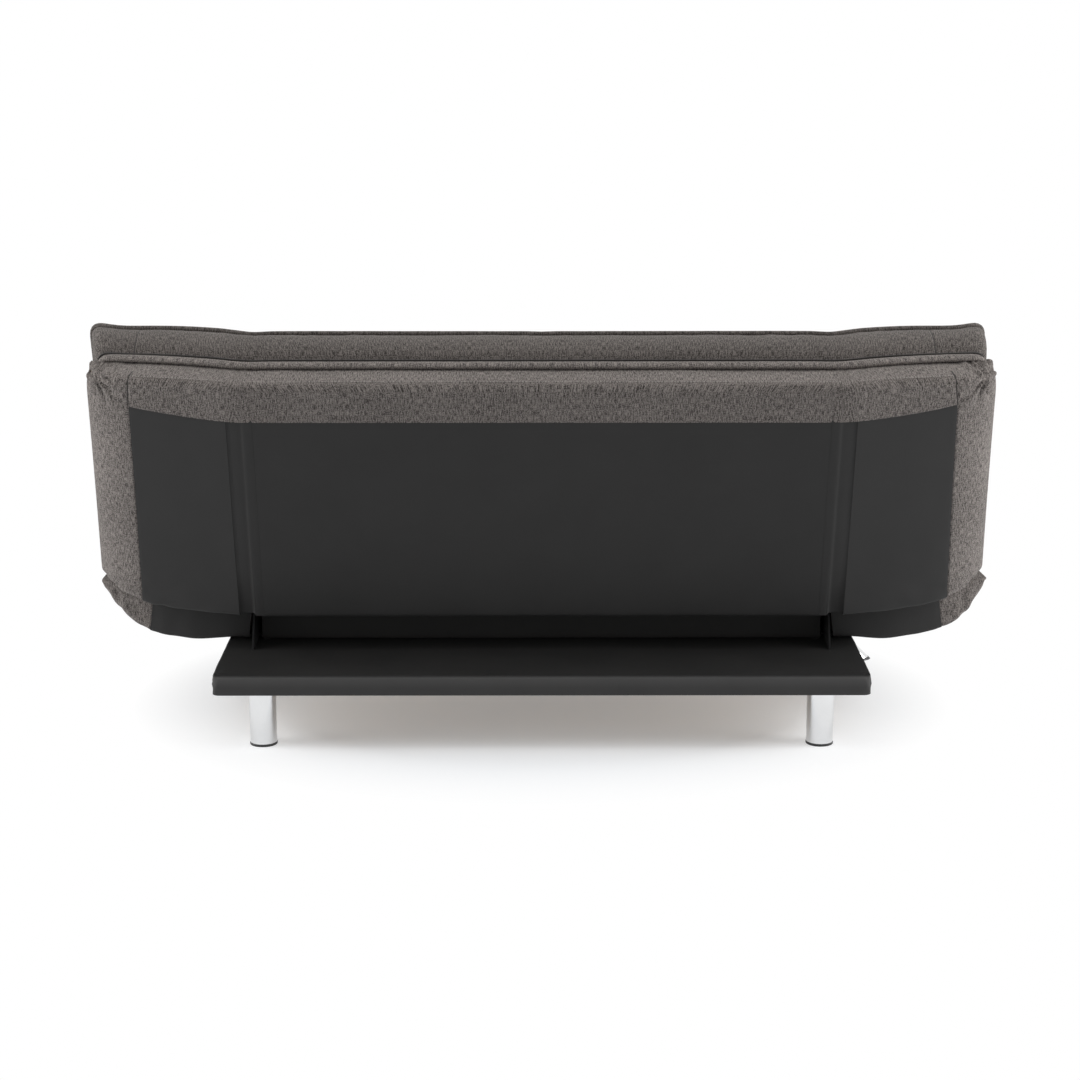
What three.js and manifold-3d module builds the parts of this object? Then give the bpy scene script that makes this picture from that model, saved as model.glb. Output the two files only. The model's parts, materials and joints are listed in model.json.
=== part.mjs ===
// Click clack sofa bed: a seat and a back of the same make, each a low upholstered box with a
// piped pad on it, hinge about one axis at their junction on a platform with four chrome legs.
// Each has a wing at either end that folds up on its own hinge.
// Millimetres, +Z up, x across, the front towards -Y, the floor at z = 0.

import * as THREE from 'three';
import { mergeVertices } from 'three/addons/utils/BufferGeometryUtils.js';
import Module from 'manifold-3d';

const wasm = await Module();
wasm.setup();

// Clearances
const fit = 0.3; // between pieces that touch
const overrun = 4; // how far a cut runs past the face that it opens

// Angles, in degrees
const sofaAngle = 74; // the back above flat, when sat on as a sofa
const releaseAngle = 4; // further fold that frees the ratchet
const wingTopAngle = 20; // a wing above flat, in its last notch
const seatWingAngle = 8; // the seat's wings above flat, as shown
const backWingAngle = 13; // the back's wings above flat, as shown

// Sections: each is laid out flat, s running from the junction to its free edge
const seatLength = 590;
const backLength = 548;
const boxDepth = 76; // upholstered box under the pad
const pivotRise = 24; // click clack axis above a section's box, laid flat
const junctionGap = 3; // from the axis to a box's junction end
const creaseGap = 2; // kept on each side of the plane between seat and back
const hingeLine = 613; // from the middle to a wing's hinge axis
const grooveWidth = 18; // between the centre box and a wing's box, laid flat
const wingReach = 334; // from the hinge axis to the wing box's outer edge
const edgeRadius = 12; // along the free edge of a box
const heelReach = 128; // the curve under a wing's outer end, measured flat
const heelRise = 102; // and its height
const sideFlat = 6; // upright part left at the top of that curve
const cornerStart = 110; // where a wing's junction end starts to draw back
const cornerDraw = 44; // how far it has drawn back at the outer end

// Cover and lining of a box
const coverWall = 3; // fabric over wadding
const liningWall = 2;
const freeBand = 82; // fabric turned under along the free edge
const sideBandFree = 116; // fabric turned under along a wing's side, at the free edge
const sideBandJunction = 107; // and at the junction

// Timber inside
const railWidth = 38;
const slatWidth = 54;
const slatThickness = 14;
const slatCount = 6;
const wingBoardThickness = 18;

// Pads
const padHeight = 152; // at the piped edge
const padOverhang = 8; // past the box's free edge, at the foot
const padSideOverhang = -14; // past a wing's outer edge, at the foot
const padSpread = 5; // further out at the piping, along the free edge
const padSideSpread = 10; // and along a wing's outer edge, besides what a folded wing pushes out
const padCrown = 20; // middle of the pad above its edge
const channelDepth = 16; // sewn channel along the middle
const channelWidth = 46;
const rollRadius = 7; // thick welt at the foot of the border
const weltRadius = 5; // piping at the top of the border
const borderSwell = 6; // border standing out between its seams
const seamDraw = 4; // a seam drawn in beside the welts
const junctionDrop = 36; // the pad is lower where it meets the other section
const junctionDropReach = 150;
const grooveDrop = 5; // and along a wing's hinge
const grooveDropReach = 70;
const endDrop = 10; // and towards a wing's outer end
const endDropReach = 250;
const cornerRound = 40; // a pad's outer corners, in plan
const seamRound = 5; // and those beside a wing's hinge
const mechanismReach = 50; // the wing pads stop short of the click clack unit

// Platform
const platformTop = 160;
const platformDepth = 40;
const platformOverhang = 61; // past the hinge line
const platformRearReach = 262; // behind the click clack axis
const platformFrontReach = 454; // in front of it
const platformCorner = 16;
const platformEdge = 6; // rounding of the top edge
const clothWall = 1.5;
const boardThickness = 9;
const endRailWidth = 70;
const middleRailWidth = 50;
const restGap = 0.5; // the sections rest this far above the cloth

// Legs
const legRadius = 28;
const legSides = 28;
const legWall = 2;
const rearLegInset = 94.5; // axis from the platform's side
const frontLegInset = 56; // axis from the platform's side, at the top
const frontLeftLegDraw = 28; // how much further in the left one stands
const frontLegLean = 45; // degrees outward
const legSetback = 45; // axis from the platform's front and rear edges
const legPlateMargin = 12; // plate past the tube
const legPlateThickness = 4;
const glideHeight = 5;
const glidePlug = 14; // height inside the tube

// Click clack units, in the grooves between the centre and the wings
const plateThickness = 4;
const plateGap = 0.6; // between the unit's plates
const pivotRadius = 6;
const pivotHeadRadius = 10;
const pivotHeadThickness = 5;
const eyeRadius = 20; // round end of an arm
const strapHalfWidth = 16;
const armKneeReach = 74; // where an arm turns along the box
const armReach = 225;
const armHeight = 36; // of its straight part, above the underside
const packerStart = 96; // the back's arm stands off its box on a packer from here to its end
const bracketHalfFoot = 72;
const bracketDrop = 34; // into the platform
const ratchetTeeth = 9;
const ratchetToothDepth = 2.4;

// Wing hinges
const knuckleRadius = 8.3;
const hingePinRadius = 3;
const leafThickness = 3;
const leafLength = 120;
const leafKnuckleLength = 40; // of the wing's leaf
const leafDrop = 56; // below the hinge axis
const leafClearance = 45; // past the end of an arm, on the seat and on the back

// Lengths worked out from the ones above
const radians = THREE.MathUtils.degToRad;
const creaseSlope = Math.tan(radians((sofaAngle + releaseAngle) / 2));
const wingTop = radians(wingTopAngle);
const centreHalf = hingeLine - grooveWidth / 2;
const wingStart = grooveWidth / 2;
const platformHalf = hingeLine + platformOverhang;
const platformUnderside = platformTop - platformDepth;
const sectionBase = platformTop + restGap;
const pivotHeight = boxDepth + pivotRise;
const pivotZ = sectionBase + pivotHeight;

// How far along the heel's curve it has risen to a height below the top of the box.
function heelAdvance(below) {
  return heelReach * Math.sqrt(1 - (1 - (boxDepth - below) / heelRise) ** 2);
}

const heelStart = wingReach - heelAdvance(sideFlat);

// Finishes
const finish = (color, roughness, metalness) => new THREE.MeshStandardMaterial({ color, roughness, metalness });
const fabric = finish(0x6b645f, 0.95, 0);
const lining = finish(0x2f2f30, 0.8, 0);
const chrome = finish(0xd8dadc, 0.12, 1);
const steel = finish(0x8d8f92, 0.4, 1);
const timber = finish(0xb89468, 0.75, 0);
const plastic = finish(0x18181a, 0.6, 0);

// Solids

function solidOf(geometry) {
  const bare = geometry.clone();
  bare.deleteAttribute('normal');
  bare.deleteAttribute('uv');
  const merged = mergeVertices(bare, fit / 1000);
  const mesh = new wasm.Mesh({
    numProp: 3,
    vertProperties: new Float32Array(merged.attributes.position.array),
    triVerts: new Uint32Array(merged.index.array),
  });
  mesh.merge();
  return new wasm.Manifold(mesh);
}

function geometryOf(solid) {
  const mesh = solid.getMesh();
  const geometry = new THREE.BufferGeometry();
  geometry.setAttribute('position', new THREE.BufferAttribute(new Float32Array(mesh.vertProperties), mesh.numProp));
  geometry.setIndex(new THREE.BufferAttribute(new Uint32Array(mesh.triVerts), 1));
  geometry.computeVertexNormals();
  return geometry;
}

function block(low, high) {
  const size = high.map((value, axis) => value - low[axis]);
  const geometry = new THREE.BoxGeometry(...size);
  geometry.translate(...high.map((value, axis) => (value + low[axis]) / 2));
  return solidOf(geometry);
}

// An outline in (y, z) made into a plate between two values of x.
function plate(shape, from, to) {
  const geometry = new THREE.ExtrudeGeometry(shape, { depth: to - from, bevelEnabled: false, curveSegments: 8 });
  geometry.rotateX(Math.PI / 2);
  geometry.rotateZ(Math.PI / 2);
  geometry.translate(from, 0, 0);
  return solidOf(geometry);
}

// An outline in (x, y) made into a slab between two heights.
function slab(shape, from, to) {
  const geometry = new THREE.ExtrudeGeometry(shape, { depth: to - from, bevelEnabled: false, curveSegments: 3 });
  geometry.translate(0, 0, from);
  return solidOf(geometry);
}

// A closed solid through rings of points that all have as many points, with flat ends.
function loft(rings) {
  const count = rings[0].length;
  const points = rings.flat(2);
  const index = [];
  rings.slice(1).forEach((ring, step) => {
    ring.forEach((point, k) => {
      const a = step * count + k;
      const b = step * count + ((k + 1) % count);
      index.push(a, b, b + count, a, b + count, a + count);
    });
  });
  const last = (rings.length - 1) * count;
  const flat = rings.map((ring) => ring.map((point) => new THREE.Vector2(point[1], point[2])));
  const startFaces = THREE.ShapeUtils.triangulateShape(flat[0], []);
  const endFaces = THREE.ShapeUtils.triangulateShape(flat[rings.length - 1], []);
  startFaces.forEach(([a, b, c]) => index.push(a, c, b));
  endFaces.forEach(([a, b, c]) => index.push(last + a, last + b, last + c));
  const geometry = new THREE.BufferGeometry();
  geometry.setAttribute('position', new THREE.BufferAttribute(new Float32Array(points), 3));
  geometry.setIndex(index);
  return solidOf(geometry);
}

function mesh(name, solid, material) {
  const piece = new THREE.Mesh(geometryOf(solid), material);
  piece.name = name;
  return piece;
}

// Sections are drawn in (across, along, up) and then set left or right, towards the rear or the front.
function placed(solid, side, facing) {
  return solid.scale([side, facing, 1]);
}

const sideNames = [
  ['left', 1],
  ['right', -1],
];

// Shape of a box

// How far a point of a wing, at any notch, must stay from the junction so that the seat's side of the
// crease never meets the back's. Height is measured from the hinge axis, along the top of the box.
function creaseSetback(across, height) {
  const steepest = THREE.MathUtils.clamp(Math.atan2(across, height), 0, wingTop);
  const rise = across * Math.sin(steepest) + height * Math.cos(steepest) - pivotRise;
  return creaseSlope * rise + creaseGap;
}

function cornerSetback(across) {
  const share = THREE.MathUtils.clamp((across - cornerStart) / (wingReach - cornerStart), 0, 1);
  return junctionGap + cornerDraw * share ** 2;
}

function boxJunction(across, height) {
  return Math.max(cornerSetback(across), creaseSetback(across, height));
}

function heelHeight(across) {
  const share = THREE.MathUtils.clamp((across - heelStart) / heelReach, 0, 1);
  return heelRise * (1 - Math.sqrt(1 - share ** 2)) - boxDepth;
}

const edgeStepShares = [0, 0.2, 0.5, 0.8, 1];
const boxLevelShares = [1, 0.66, 0.33];

// One cross section of a box, with its faces moved in by inset.
function boxRing(across, length, inset, place) {
  const low = heelHeight(across + (across > heelStart ? inset : 0)) + inset;
  const high = -inset;
  const far = length - inset;
  const radius = Math.min(edgeRadius, high - low);
  const near = (height) => boxJunction(across, height) + inset;
  const ring = [[place, near(low), low]];
  edgeStepShares.forEach((share) => {
    const turn = (share * Math.PI) / 2;
    ring.push([place, far - radius * (1 - Math.sin(turn)), low + radius * (1 - Math.cos(turn))]);
  });
  ring.push([place, far, high]);
  boxLevelShares.forEach((share) => {
    const height = low + (high - low) * share;
    ring.push([place, near(height), height]);
  });
  return ring;
}

const wingStationShares = [0.3, 0.55, 0.75, 0.9, 1];
const heelStationShares = [0.25, 0.45, 0.65, 0.8, 0.92, 1];

function wingBox(length, inset) {
  const start = wingStart + inset;
  const end = heelStart + heelAdvance(sideFlat + 2 * inset) - inset;
  const stations = [start];
  wingStationShares.forEach((share) => stations.push(start + (heelStart - start) * share));
  heelStationShares.forEach((share) => stations.push(heelStart + (end - heelStart) * share));
  return loft(stations.map((across) => boxRing(across, length, inset, across)));
}

function centreBox(length, inset) {
  const half = centreHalf - inset;
  return loft([-half, half].map((place) => boxRing(0, length, inset, place)));
}

// The part of a box that is closed by lining: all but the fabric bands along its free sides.
function liningRegion(length, clearance, wing) {
  const farEdge = length - freeBand - clearance;
  const sideAtFree = wing ? wingReach - sideBandFree - clearance : hingeLine;
  const sideAtJunction = wing ? wingReach - sideBandJunction - clearance : hingeLine;
  const nearEdge = -overrun;
  const inner = wing ? -overrun : -hingeLine;
  const outline = new THREE.Shape([
    new THREE.Vector2(inner, nearEdge),
    new THREE.Vector2(sideAtJunction, nearEdge),
    new THREE.Vector2(sideAtFree, farEdge),
    new THREE.Vector2(inner, farEdge),
  ]);
  return slab(outline, -boxDepth - overrun, -coverWall - clearance);
}

function boxCover(length, shape, wing) {
  return shape(length, 0).subtract(shape(length, coverWall)).subtract(liningRegion(length, 0, wing));
}

function boxLining(length, shape, wing) {
  return shape(length, 0).intersect(liningRegion(length, fit, wing)).subtract(shape(length, liningWall));
}

// A rail all round and slats across the top.
function slatFrame(length) {
  const inset = coverWall + fit;
  const half = centreHalf - inset - railWidth;
  const near = junctionGap + inset + railWidth;
  const far = length - inset - railWidth;
  const top = -inset;
  const hole = block([-half, near, -boxDepth - overrun], [half, far, overrun]);
  let frame = centreBox(length, inset).subtract(hole);
  const pitch = (2 * half - slatCount * slatWidth) / (slatCount + 1);
  for (let k = 0; k < slatCount; k += 1) {
    const from = -half + pitch + k * (slatWidth + pitch);
    const slat = block([from, near - railWidth / 2, top - slatThickness], [from + slatWidth, far + railWidth / 2, top]);
    frame = frame.add(slat);
  }
  return frame;
}

// A board with rails under its edges and a solid block in the curve of the heel.
function wingBoard(length) {
  const inset = coverWall + fit;
  const near = boxJunction(heelStart, 0) + inset + railWidth;
  const hollow = block(
    [wingStart + inset + railWidth, near, -boxDepth - overrun],
    [heelStart, length - inset - railWidth, -inset - wingBoardThickness],
  );
  return wingBox(length, inset).subtract(hollow);
}

// Pads

// Heights up the border as shares of it, with how far the border stands out there.
function borderLevels() {
  const rollShare = (2 * rollRadius) / padHeight;
  const weltShare = (2 * weltRadius) / padHeight;
  const between = 1 - rollShare - weltShare;
  return [
    [0, -seamDraw],
    [rollShare * 0.25, 0],
    [rollShare * 0.6, 0],
    [rollShare, -seamDraw],
    [rollShare + between * 0.2, borderSwell / 3],
    [rollShare + between * 0.55, borderSwell],
    [rollShare + between * 0.85, borderSwell / 3],
    [1 - weltShare, -seamDraw],
    [1 - weltShare / 2, 0],
    [1, -seamDraw / 2],
  ];
}

function fall(distance, drop, reach) {
  return drop * THREE.MathUtils.clamp(1 - distance / reach, 0, 1) ** 2;
}

function bulge(share) {
  return 1 - Math.abs(2 * share - 1) ** 3;
}

// A piped pad on a grid of shares across and along. The sides are given by functions of height.
function pad({ acrossShares, sides, near, length, grooves, ends, channels, corners }) {
  const [lowSide, highSide] = sides;
  const levels = borderLevels();
  const bottom = fit;
  const farSide = (height) => length + padOverhang + (padSpread * height) / padHeight;

  const sideAt = (u, height, out) => {
    const from = lowSide(height, out);
    const to = highSide(height, out);
    return from + (to - from) * u;
  };
  const alongAt = (across, v, height, out) => {
    const from = near(across, height) - Math.min(out, 0);
    return from + (farSide(height) + out - from) * v;
  };
  const topAt = (u, v) => {
    const across = sideAt(u, padHeight, 0);
    const from = near(across, padHeight - junctionDrop);
    const along = from + (farSide(padHeight) - from) * v;
    const grooveFall = fall(grooves(across), grooveDrop, grooveDropReach);
    const endFall = fall(ends(across), endDrop, endDropReach);
    return padHeight - fall(along - from, junctionDrop, junctionDropReach) - grooveFall - endFall;
  };
  const rounded = (u, v, across, along) => {
    if ((u > 0 && u < 1) || (v > 0 && v < 1)) return [across, along];
    const pull = corners[u] * (1 - Math.SQRT1_2);
    return [across + (u === 0 ? pull : -pull), along + (v === 0 ? pull : -pull)];
  };
  const borderPoint = (u, v, level) => {
    const [share, out] = level;
    const height = bottom + (topAt(u, v) - bottom) * share;
    const across = sideAt(u, height, out);
    const along = alongAt(across, v, height, out);
    return [...rounded(u, v, across, along), height];
  };
  const topPoint = (u, v) => {
    const out = levels[levels.length - 1][1];
    const edge = topAt(u, v);
    const across = sideAt(u, edge, out);
    const along = alongAt(across, v, edge, out);
    const crown = padCrown * bulge(u) * bulge(v);
    const sewn = channels.reduce(
      (sum, centre) => sum + channelDepth * Math.exp(-(((across - centre) / (channelWidth / 2)) ** 2)),
      0,
    );
    return [across, along, edge + crown - sewn * bulge(v) ** 0.5 * bulge(u) ** 0.5];
  };

  const columns = acrossShares.length;
  const rows = alongShares.length;
  const loop = [];
  for (let i = 0; i < columns - 1; i += 1) loop.push([i, 0]);
  for (let j = 0; j < rows - 1; j += 1) loop.push([columns - 1, j]);
  for (let i = columns - 1; i > 0; i -= 1) loop.push([i, rows - 1]);
  for (let j = rows - 1; j > 0; j -= 1) loop.push([0, j]);

  const points = [];
  const index = [];
  levels.forEach((level) => {
    loop.forEach(([i, j]) => points.push(borderPoint(acrossShares[i], alongShares[j], level)));
  });
  const count = loop.length;
  for (let level = 0; level < levels.length - 1; level += 1) {
    for (let k = 0; k < count; k += 1) {
      const a = level * count + k;
      const b = level * count + ((k + 1) % count);
      index.push(a, b, b + count, a, b + count, a + count);
    }
  }
  // the top and the underside share the border's first and last loops
  const gridIndex = (loopStart, inside) => {
    const table = loop.reduce((map, [i, j], k) => map.set(`${i},${j}`, loopStart + k), new Map());
    return (i, j) => {
      const key = `${i},${j}`;
      if (!table.has(key)) {
        table.set(key, points.length);
        points.push(inside(acrossShares[i], alongShares[j]));
      }
      return table.get(key);
    };
  };
  const lay = (at, flip) => {
    for (let i = 0; i < columns - 1; i += 1) {
      for (let j = 0; j < rows - 1; j += 1) {
        const corners = [at(i, j), at(i + 1, j), at(i + 1, j + 1), at(i, j + 1)];
        const [a, b, c, d] = flip ? corners.reverse() : corners;
        index.push(a, b, c, a, c, d);
      }
    }
  };
  lay(gridIndex((levels.length - 1) * count, topPoint), false);

  // the underside is flat, so its loop is closed without points inside
  const outline = loop.map((place, k) => new THREE.Vector2(points[k][0], points[k][1]));
  THREE.ShapeUtils.triangulateShape(outline, []).forEach(([a, b, c]) => index.push(a, c, b));

  const geometry = new THREE.BufferGeometry();
  geometry.setAttribute('position', new THREE.BufferAttribute(new Float32Array(points.flat()), 3));
  geometry.setIndex(index);
  return solidOf(geometry);
}

const centreAcrossShares = [0, 0.03, 0.1, 0.2, 0.3, 0.4, 0.455, 0.48, 0.5, 0.52, 0.545, 0.6, 0.7, 0.8, 0.9, 0.97, 1];
const wingAcrossShares = [0, 0.1, 0.3, 0.55, 0.75, 0.92, 1];
const alongShares = [0, 0.06, 0.16, 0.32, 0.52, 0.72, 0.88, 0.96, 1];

// The pads lean back beside the groove, so that they just meet when a wing is in its last notch.
const grooveLean = Math.max(0, Math.tan(wingTop / 2) - (grooveWidth / 2 - fit) / (padHeight + padCrown));

function centrePad(length) {
  const half = (height) => centreHalf - fit - grooveLean * height;
  return pad({
    acrossShares: centreAcrossShares,
    sides: [(height) => -half(height), (height) => half(height)],
    near: (across, height) => Math.max(junctionGap, creaseSetback(0, height)),
    length,
    grooves: (across) => centreHalf - Math.abs(across),
    ends: () => endDropReach,
    channels: [0],
    corners: [seamRound, seamRound],
  });
}

function wingPad(length, wingAngle) {
  const spread = padSideSpread / padHeight + Math.tan(radians(wingAngle));
  const end = (height) => wingReach + padSideOverhang + spread * height;
  return pad({
    acrossShares: wingAcrossShares,
    sides: [(height) => wingStart + fit + grooveLean * height, (height, out) => end(height) + out],
    near: (across, height) => Math.max(mechanismReach, boxJunction(across, height)),
    length,
    grooves: (across) => across - wingStart,
    ends: (across) => end(padHeight) - across,
    channels: [],
    corners: [seamRound, cornerRound],
  });
}

// Click clack unit

// A bent strap of even width with round ends, in (along, up).
function strap(points, halfWidth) {
  const ends = points.map((point) => new THREE.Vector2(...point));
  const edge = (list) => {
    const path = [];
    list.forEach((point, k) => {
      const before = k > 0 ? point.clone().sub(list[k - 1]).normalize() : null;
      const after = k < list.length - 1 ? list[k + 1].clone().sub(point).normalize() : null;
      if (before && after) {
        const mean = before.clone().add(after).normalize();
        const reach = halfWidth / mean.dot(before);
        path.push(new THREE.Vector2(point.x + mean.y * reach, point.y - mean.x * reach));
      } else if (after) {
        path.push(new THREE.Vector2(point.x + after.y * halfWidth, point.y - after.x * halfWidth));
      } else {
        for (let turn = 0; turn < 8; turn += 1) {
          const angle = Math.atan2(before.y, before.x) - Math.PI / 2 + (turn * Math.PI) / 8;
          path.push(new THREE.Vector2(point.x + halfWidth * Math.cos(angle), point.y + halfWidth * Math.sin(angle)));
        }
      }
    });
    return path;
  };
  return new THREE.Shape([...edge(ends), ...edge(ends.slice().reverse()).slice(0, -1)]);
}

// The round end of the seat's arm has ratchet teeth cut along its rear.
function toothedEye() {
  const shape = new THREE.Shape();
  const steps = ratchetTeeth * 4;
  for (let k = 0; k < steps; k += 1) {
    const angle = (k * 2 * Math.PI) / steps;
    const cut = k % 4 === 0 && k <= steps / 2 ? ratchetToothDepth : 0;
    const radius = eyeRadius - cut;
    shape[k === 0 ? 'moveTo' : 'lineTo'](radius * Math.cos(angle), radius * Math.sin(angle));
  }
  shape.closePath();
  return shape;
}

function roundEye() {
  const shape = new THREE.Shape();
  shape.absarc(0, 0, eyeRadius, 0, 2 * Math.PI);
  return shape;
}

function pivotHole(from, to) {
  const shape = new THREE.Shape();
  shape.absarc(0, 0, pivotRadius + fit, 0, 2 * Math.PI);
  return plate(shape, from - overrun, to + overrun);
}

const seatArmFrom = centreHalf + fit;
const backArmFrom = seatArmFrom + plateThickness + plateGap;
const bracketFrom = backArmFrom + plateThickness + plateGap;
const bracketTo = bracketFrom + plateThickness;

function arm(eye, from) {
  const low = armHeight - pivotHeight;
  const outline = strap([[0, 0], [armKneeReach, low], [armReach, low]], strapHalfWidth);
  const to = from + plateThickness;
  const solid = plate(outline, from, to).add(plate(eye, from, to)).subtract(pivotHole(from, to));
  if (from === seatArmFrom) return solid;
  const packer = strap([[packerStart, low], [armReach, low]], strapHalfWidth);
  return solid.add(plate(packer, seatArmFrom, to));
}

function baseBracket() {
  const foot = -(pivotHeight + restGap + bracketDrop);
  const shoulder = -(pivotHeight + restGap);
  const outline = new THREE.Shape([
    new THREE.Vector2(-bracketHalfFoot, foot),
    new THREE.Vector2(bracketHalfFoot, foot),
    new THREE.Vector2(bracketHalfFoot, shoulder),
    new THREE.Vector2(eyeRadius, 0),
    new THREE.Vector2(-eyeRadius, 0),
    new THREE.Vector2(-bracketHalfFoot, shoulder),
  ]);
  return plate(outline, bracketFrom, bracketTo)
    .add(plate(roundEye(), bracketFrom, bracketTo))
    .subtract(pivotHole(bracketFrom, bracketTo));
}

function pivotBolt() {
  const shank = new THREE.Shape();
  shank.absarc(0, 0, pivotRadius, 0, 2 * Math.PI);
  const head = new THREE.Shape();
  head.absarc(0, 0, pivotHeadRadius, 0, 2 * Math.PI);
  const headFrom = bracketTo + fit;
  return plate(shank, seatArmFrom, headFrom + pivotHeadThickness).add(
    plate(head, headFrom, headFrom + pivotHeadThickness),
  );
}

// Wing hinges: the centre's leaf carries the pin and the outer knuckles, the wing's leaf the middle one.

const leafPlace = armReach + leafClearance + leafLength / 2;

function rod(radius, from, to) {
  const geometry = new THREE.CylinderGeometry(radius, radius, to - from, 16);
  geometry.translate(0, (from + to) / 2, 0);
  return solidOf(geometry);
}

// A leaf standing against the side of its box, with a neck up to each of its knuckles.
function leaf(knuckles) {
  const outer = -(grooveWidth / 2 - fit);
  const inner = outer + leafThickness;
  const from = leafPlace - leafLength / 2;
  const to = leafPlace + leafLength / 2;
  let solid = block([outer, from, -leafDrop], [inner, to, -knuckleRadius - fit]);
  knuckles.forEach(([start, end]) => {
    solid = solid.add(block([outer, start, -knuckleRadius - fit - leafThickness], [inner, end, 0]));
    solid = solid.add(rod(knuckleRadius, start, end));
  });
  return solid;
}

const wingKnuckleFrom = leafPlace - leafKnuckleLength / 2;
const wingKnuckleTo = leafPlace + leafKnuckleLength / 2;

function centreLeaf() {
  const from = leafPlace - leafLength / 2;
  const to = leafPlace + leafLength / 2;
  return leaf([
    [from, wingKnuckleFrom - fit],
    [wingKnuckleTo + fit, to],
  ]).add(rod(hingePinRadius, from, to));
}

function wingLeaf() {
  const bore = rod(hingePinRadius + fit, wingKnuckleFrom - overrun, wingKnuckleTo + overrun);
  return leaf([[wingKnuckleFrom, wingKnuckleTo]]).scale([-1, 1, 1]).subtract(bore);
}

// Sections

// A group at the click clack axis with the centre's pieces, and a group at each wing's hinge axis.
function section(name, facing, length, wingAngle) {
  const group = new THREE.Group();
  group.position.z = pivotZ;
  const centre = new THREE.Group();
  centre.position.z = -pivotRise;
  group.add(centre);
  const put = (parent, label, solid, side, material) => {
    parent.add(mesh(`${name}_${label}`, placed(solid, side, facing), material));
  };
  put(centre, 'cover', boxCover(length, centreBox, false), 1, fabric);
  put(centre, 'lining', boxLining(length, centreBox, false), 1, lining);
  put(centre, 'slat_frame', slatFrame(length), 1, timber);
  put(centre, 'pad', centrePad(length), 1, fabric);

  sideNames.forEach(([side, sign]) => {
    const wing = new THREE.Group();
    wing.position.set(sign * hingeLine, 0, -pivotRise);
    wing.rotation.y = -sign * radians(wingAngle);
    group.add(wing);
    put(wing, `${side}_wing_cover`, boxCover(length, wingBox, true), sign, fabric);
    put(wing, `${side}_wing_lining`, boxLining(length, wingBox, true), sign, lining);
    put(wing, `${side}_wing_board`, wingBoard(length), sign, timber);
    put(wing, `${side}_wing_pad`, wingPad(length, wingAngle), sign, fabric);
    put(wing, `${side}_hinge_wing_leaf`, wingLeaf(), sign, steel);

    const hinge = new THREE.Group();
    hinge.position.set(sign * hingeLine, 0, -pivotRise);
    group.add(hinge);
    put(hinge, `${side}_hinge_centre_leaf`, centreLeaf(), sign, steel);

    const armSolid = name === 'seat' ? arm(toothedEye(), seatArmFrom) : arm(roundEye(), backArmFrom);
    put(group, `${side}_arm`, armSolid, sign, steel);
  });
  return group;
}

// Platform

function roundedOutline(inset) {
  const radius = platformCorner - inset;
  const half = platformHalf - inset;
  const rear = platformRearReach - inset;
  const front = -platformFrontReach + inset;
  const shape = new THREE.Shape();
  shape.absarc(half - radius, rear - radius, radius, 0, Math.PI / 2);
  shape.absarc(-half + radius, rear - radius, radius, Math.PI / 2, Math.PI);
  shape.absarc(-half + radius, front + radius, radius, Math.PI, (3 * Math.PI) / 2);
  shape.absarc(half - radius, front + radius, radius, (3 * Math.PI) / 2, 2 * Math.PI);
  return shape;
}

const clothStepShares = [0, 0.5, 1];

// The cloth over the platform, rounded along its top edge and open underneath.
function platformCloth() {
  const stack = (inset, top) => {
    let solid = slab(roundedOutline(inset), platformUnderside - (inset > 0 ? overrun : 0), top - platformEdge);
    clothStepShares.slice(1).forEach((share, k) => {
      const turn = (share * Math.PI) / 2;
      const draw = platformEdge * (1 - Math.cos(turn));
      const low = top - platformEdge + platformEdge * Math.sin((clothStepShares[k] * Math.PI) / 2);
      const high = top - platformEdge + platformEdge * Math.sin(turn);
      solid = solid.add(slab(roundedOutline(inset + draw), low, high));
    });
    return solid;
  };
  return stack(0, platformTop).subtract(stack(clothWall, platformTop - clothWall));
}

// The brackets pass through the cloth and the board here.
function bracketSlots() {
  const slots = sideNames.map(([, sign]) => {
    const slot = block(
      [bracketFrom - fit, -bracketHalfFoot - fit, platformUnderside],
      [bracketTo + fit, bracketHalfFoot + fit, platformTop + overrun],
    );
    return placed(slot, sign, 1);
  });
  return slots[0].add(slots[1]);
}

const boardTop = platformTop - clothWall - fit;
const railTop = boardTop - boardThickness - fit;
const railBottom = platformUnderside + clothWall;
const sideRailFrom = bracketTo + fit;
const innerHalf = platformHalf - clothWall - fit;
const innerRear = platformRearReach - clothWall - fit;
const innerFront = -platformFrontReach + clothWall + fit;

function platformBoard() {
  const outline = roundedOutline(clothWall + fit + platformEdge);
  return slab(outline, boardTop - boardThickness, boardTop).subtract(bracketSlots());
}

function platform() {
  const group = new THREE.Group();
  group.add(mesh('platform_cover', platformCloth().subtract(bracketSlots()), lining));
  group.add(mesh('platform_board', platformBoard(), timber));
  const plan = slab(roundedOutline(clothWall + fit), railBottom, railTop);
  const rail = (name, low, high) => {
    const bar = block([...low, railBottom - overrun], [...high, railTop + overrun]);
    group.add(mesh(name, plan.intersect(bar), timber));
  };
  const rearRail = innerRear - endRailWidth;
  const frontRail = innerFront + endRailWidth;
  rail('platform_rear_rail', [-innerHalf, rearRail], [innerHalf, innerRear]);
  rail('platform_front_rail', [-innerHalf, innerFront], [innerHalf, frontRail]);
  rail('platform_left_rail', [sideRailFrom, frontRail + fit], [innerHalf, rearRail - fit]);
  rail('platform_right_rail', [-innerHalf, frontRail + fit], [-sideRailFrom, rearRail - fit]);
  rail('platform_middle_rail', [-middleRailWidth / 2, frontRail + fit], [middleRailWidth / 2, rearRail - fit]);
  return group;
}

// Legs

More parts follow.
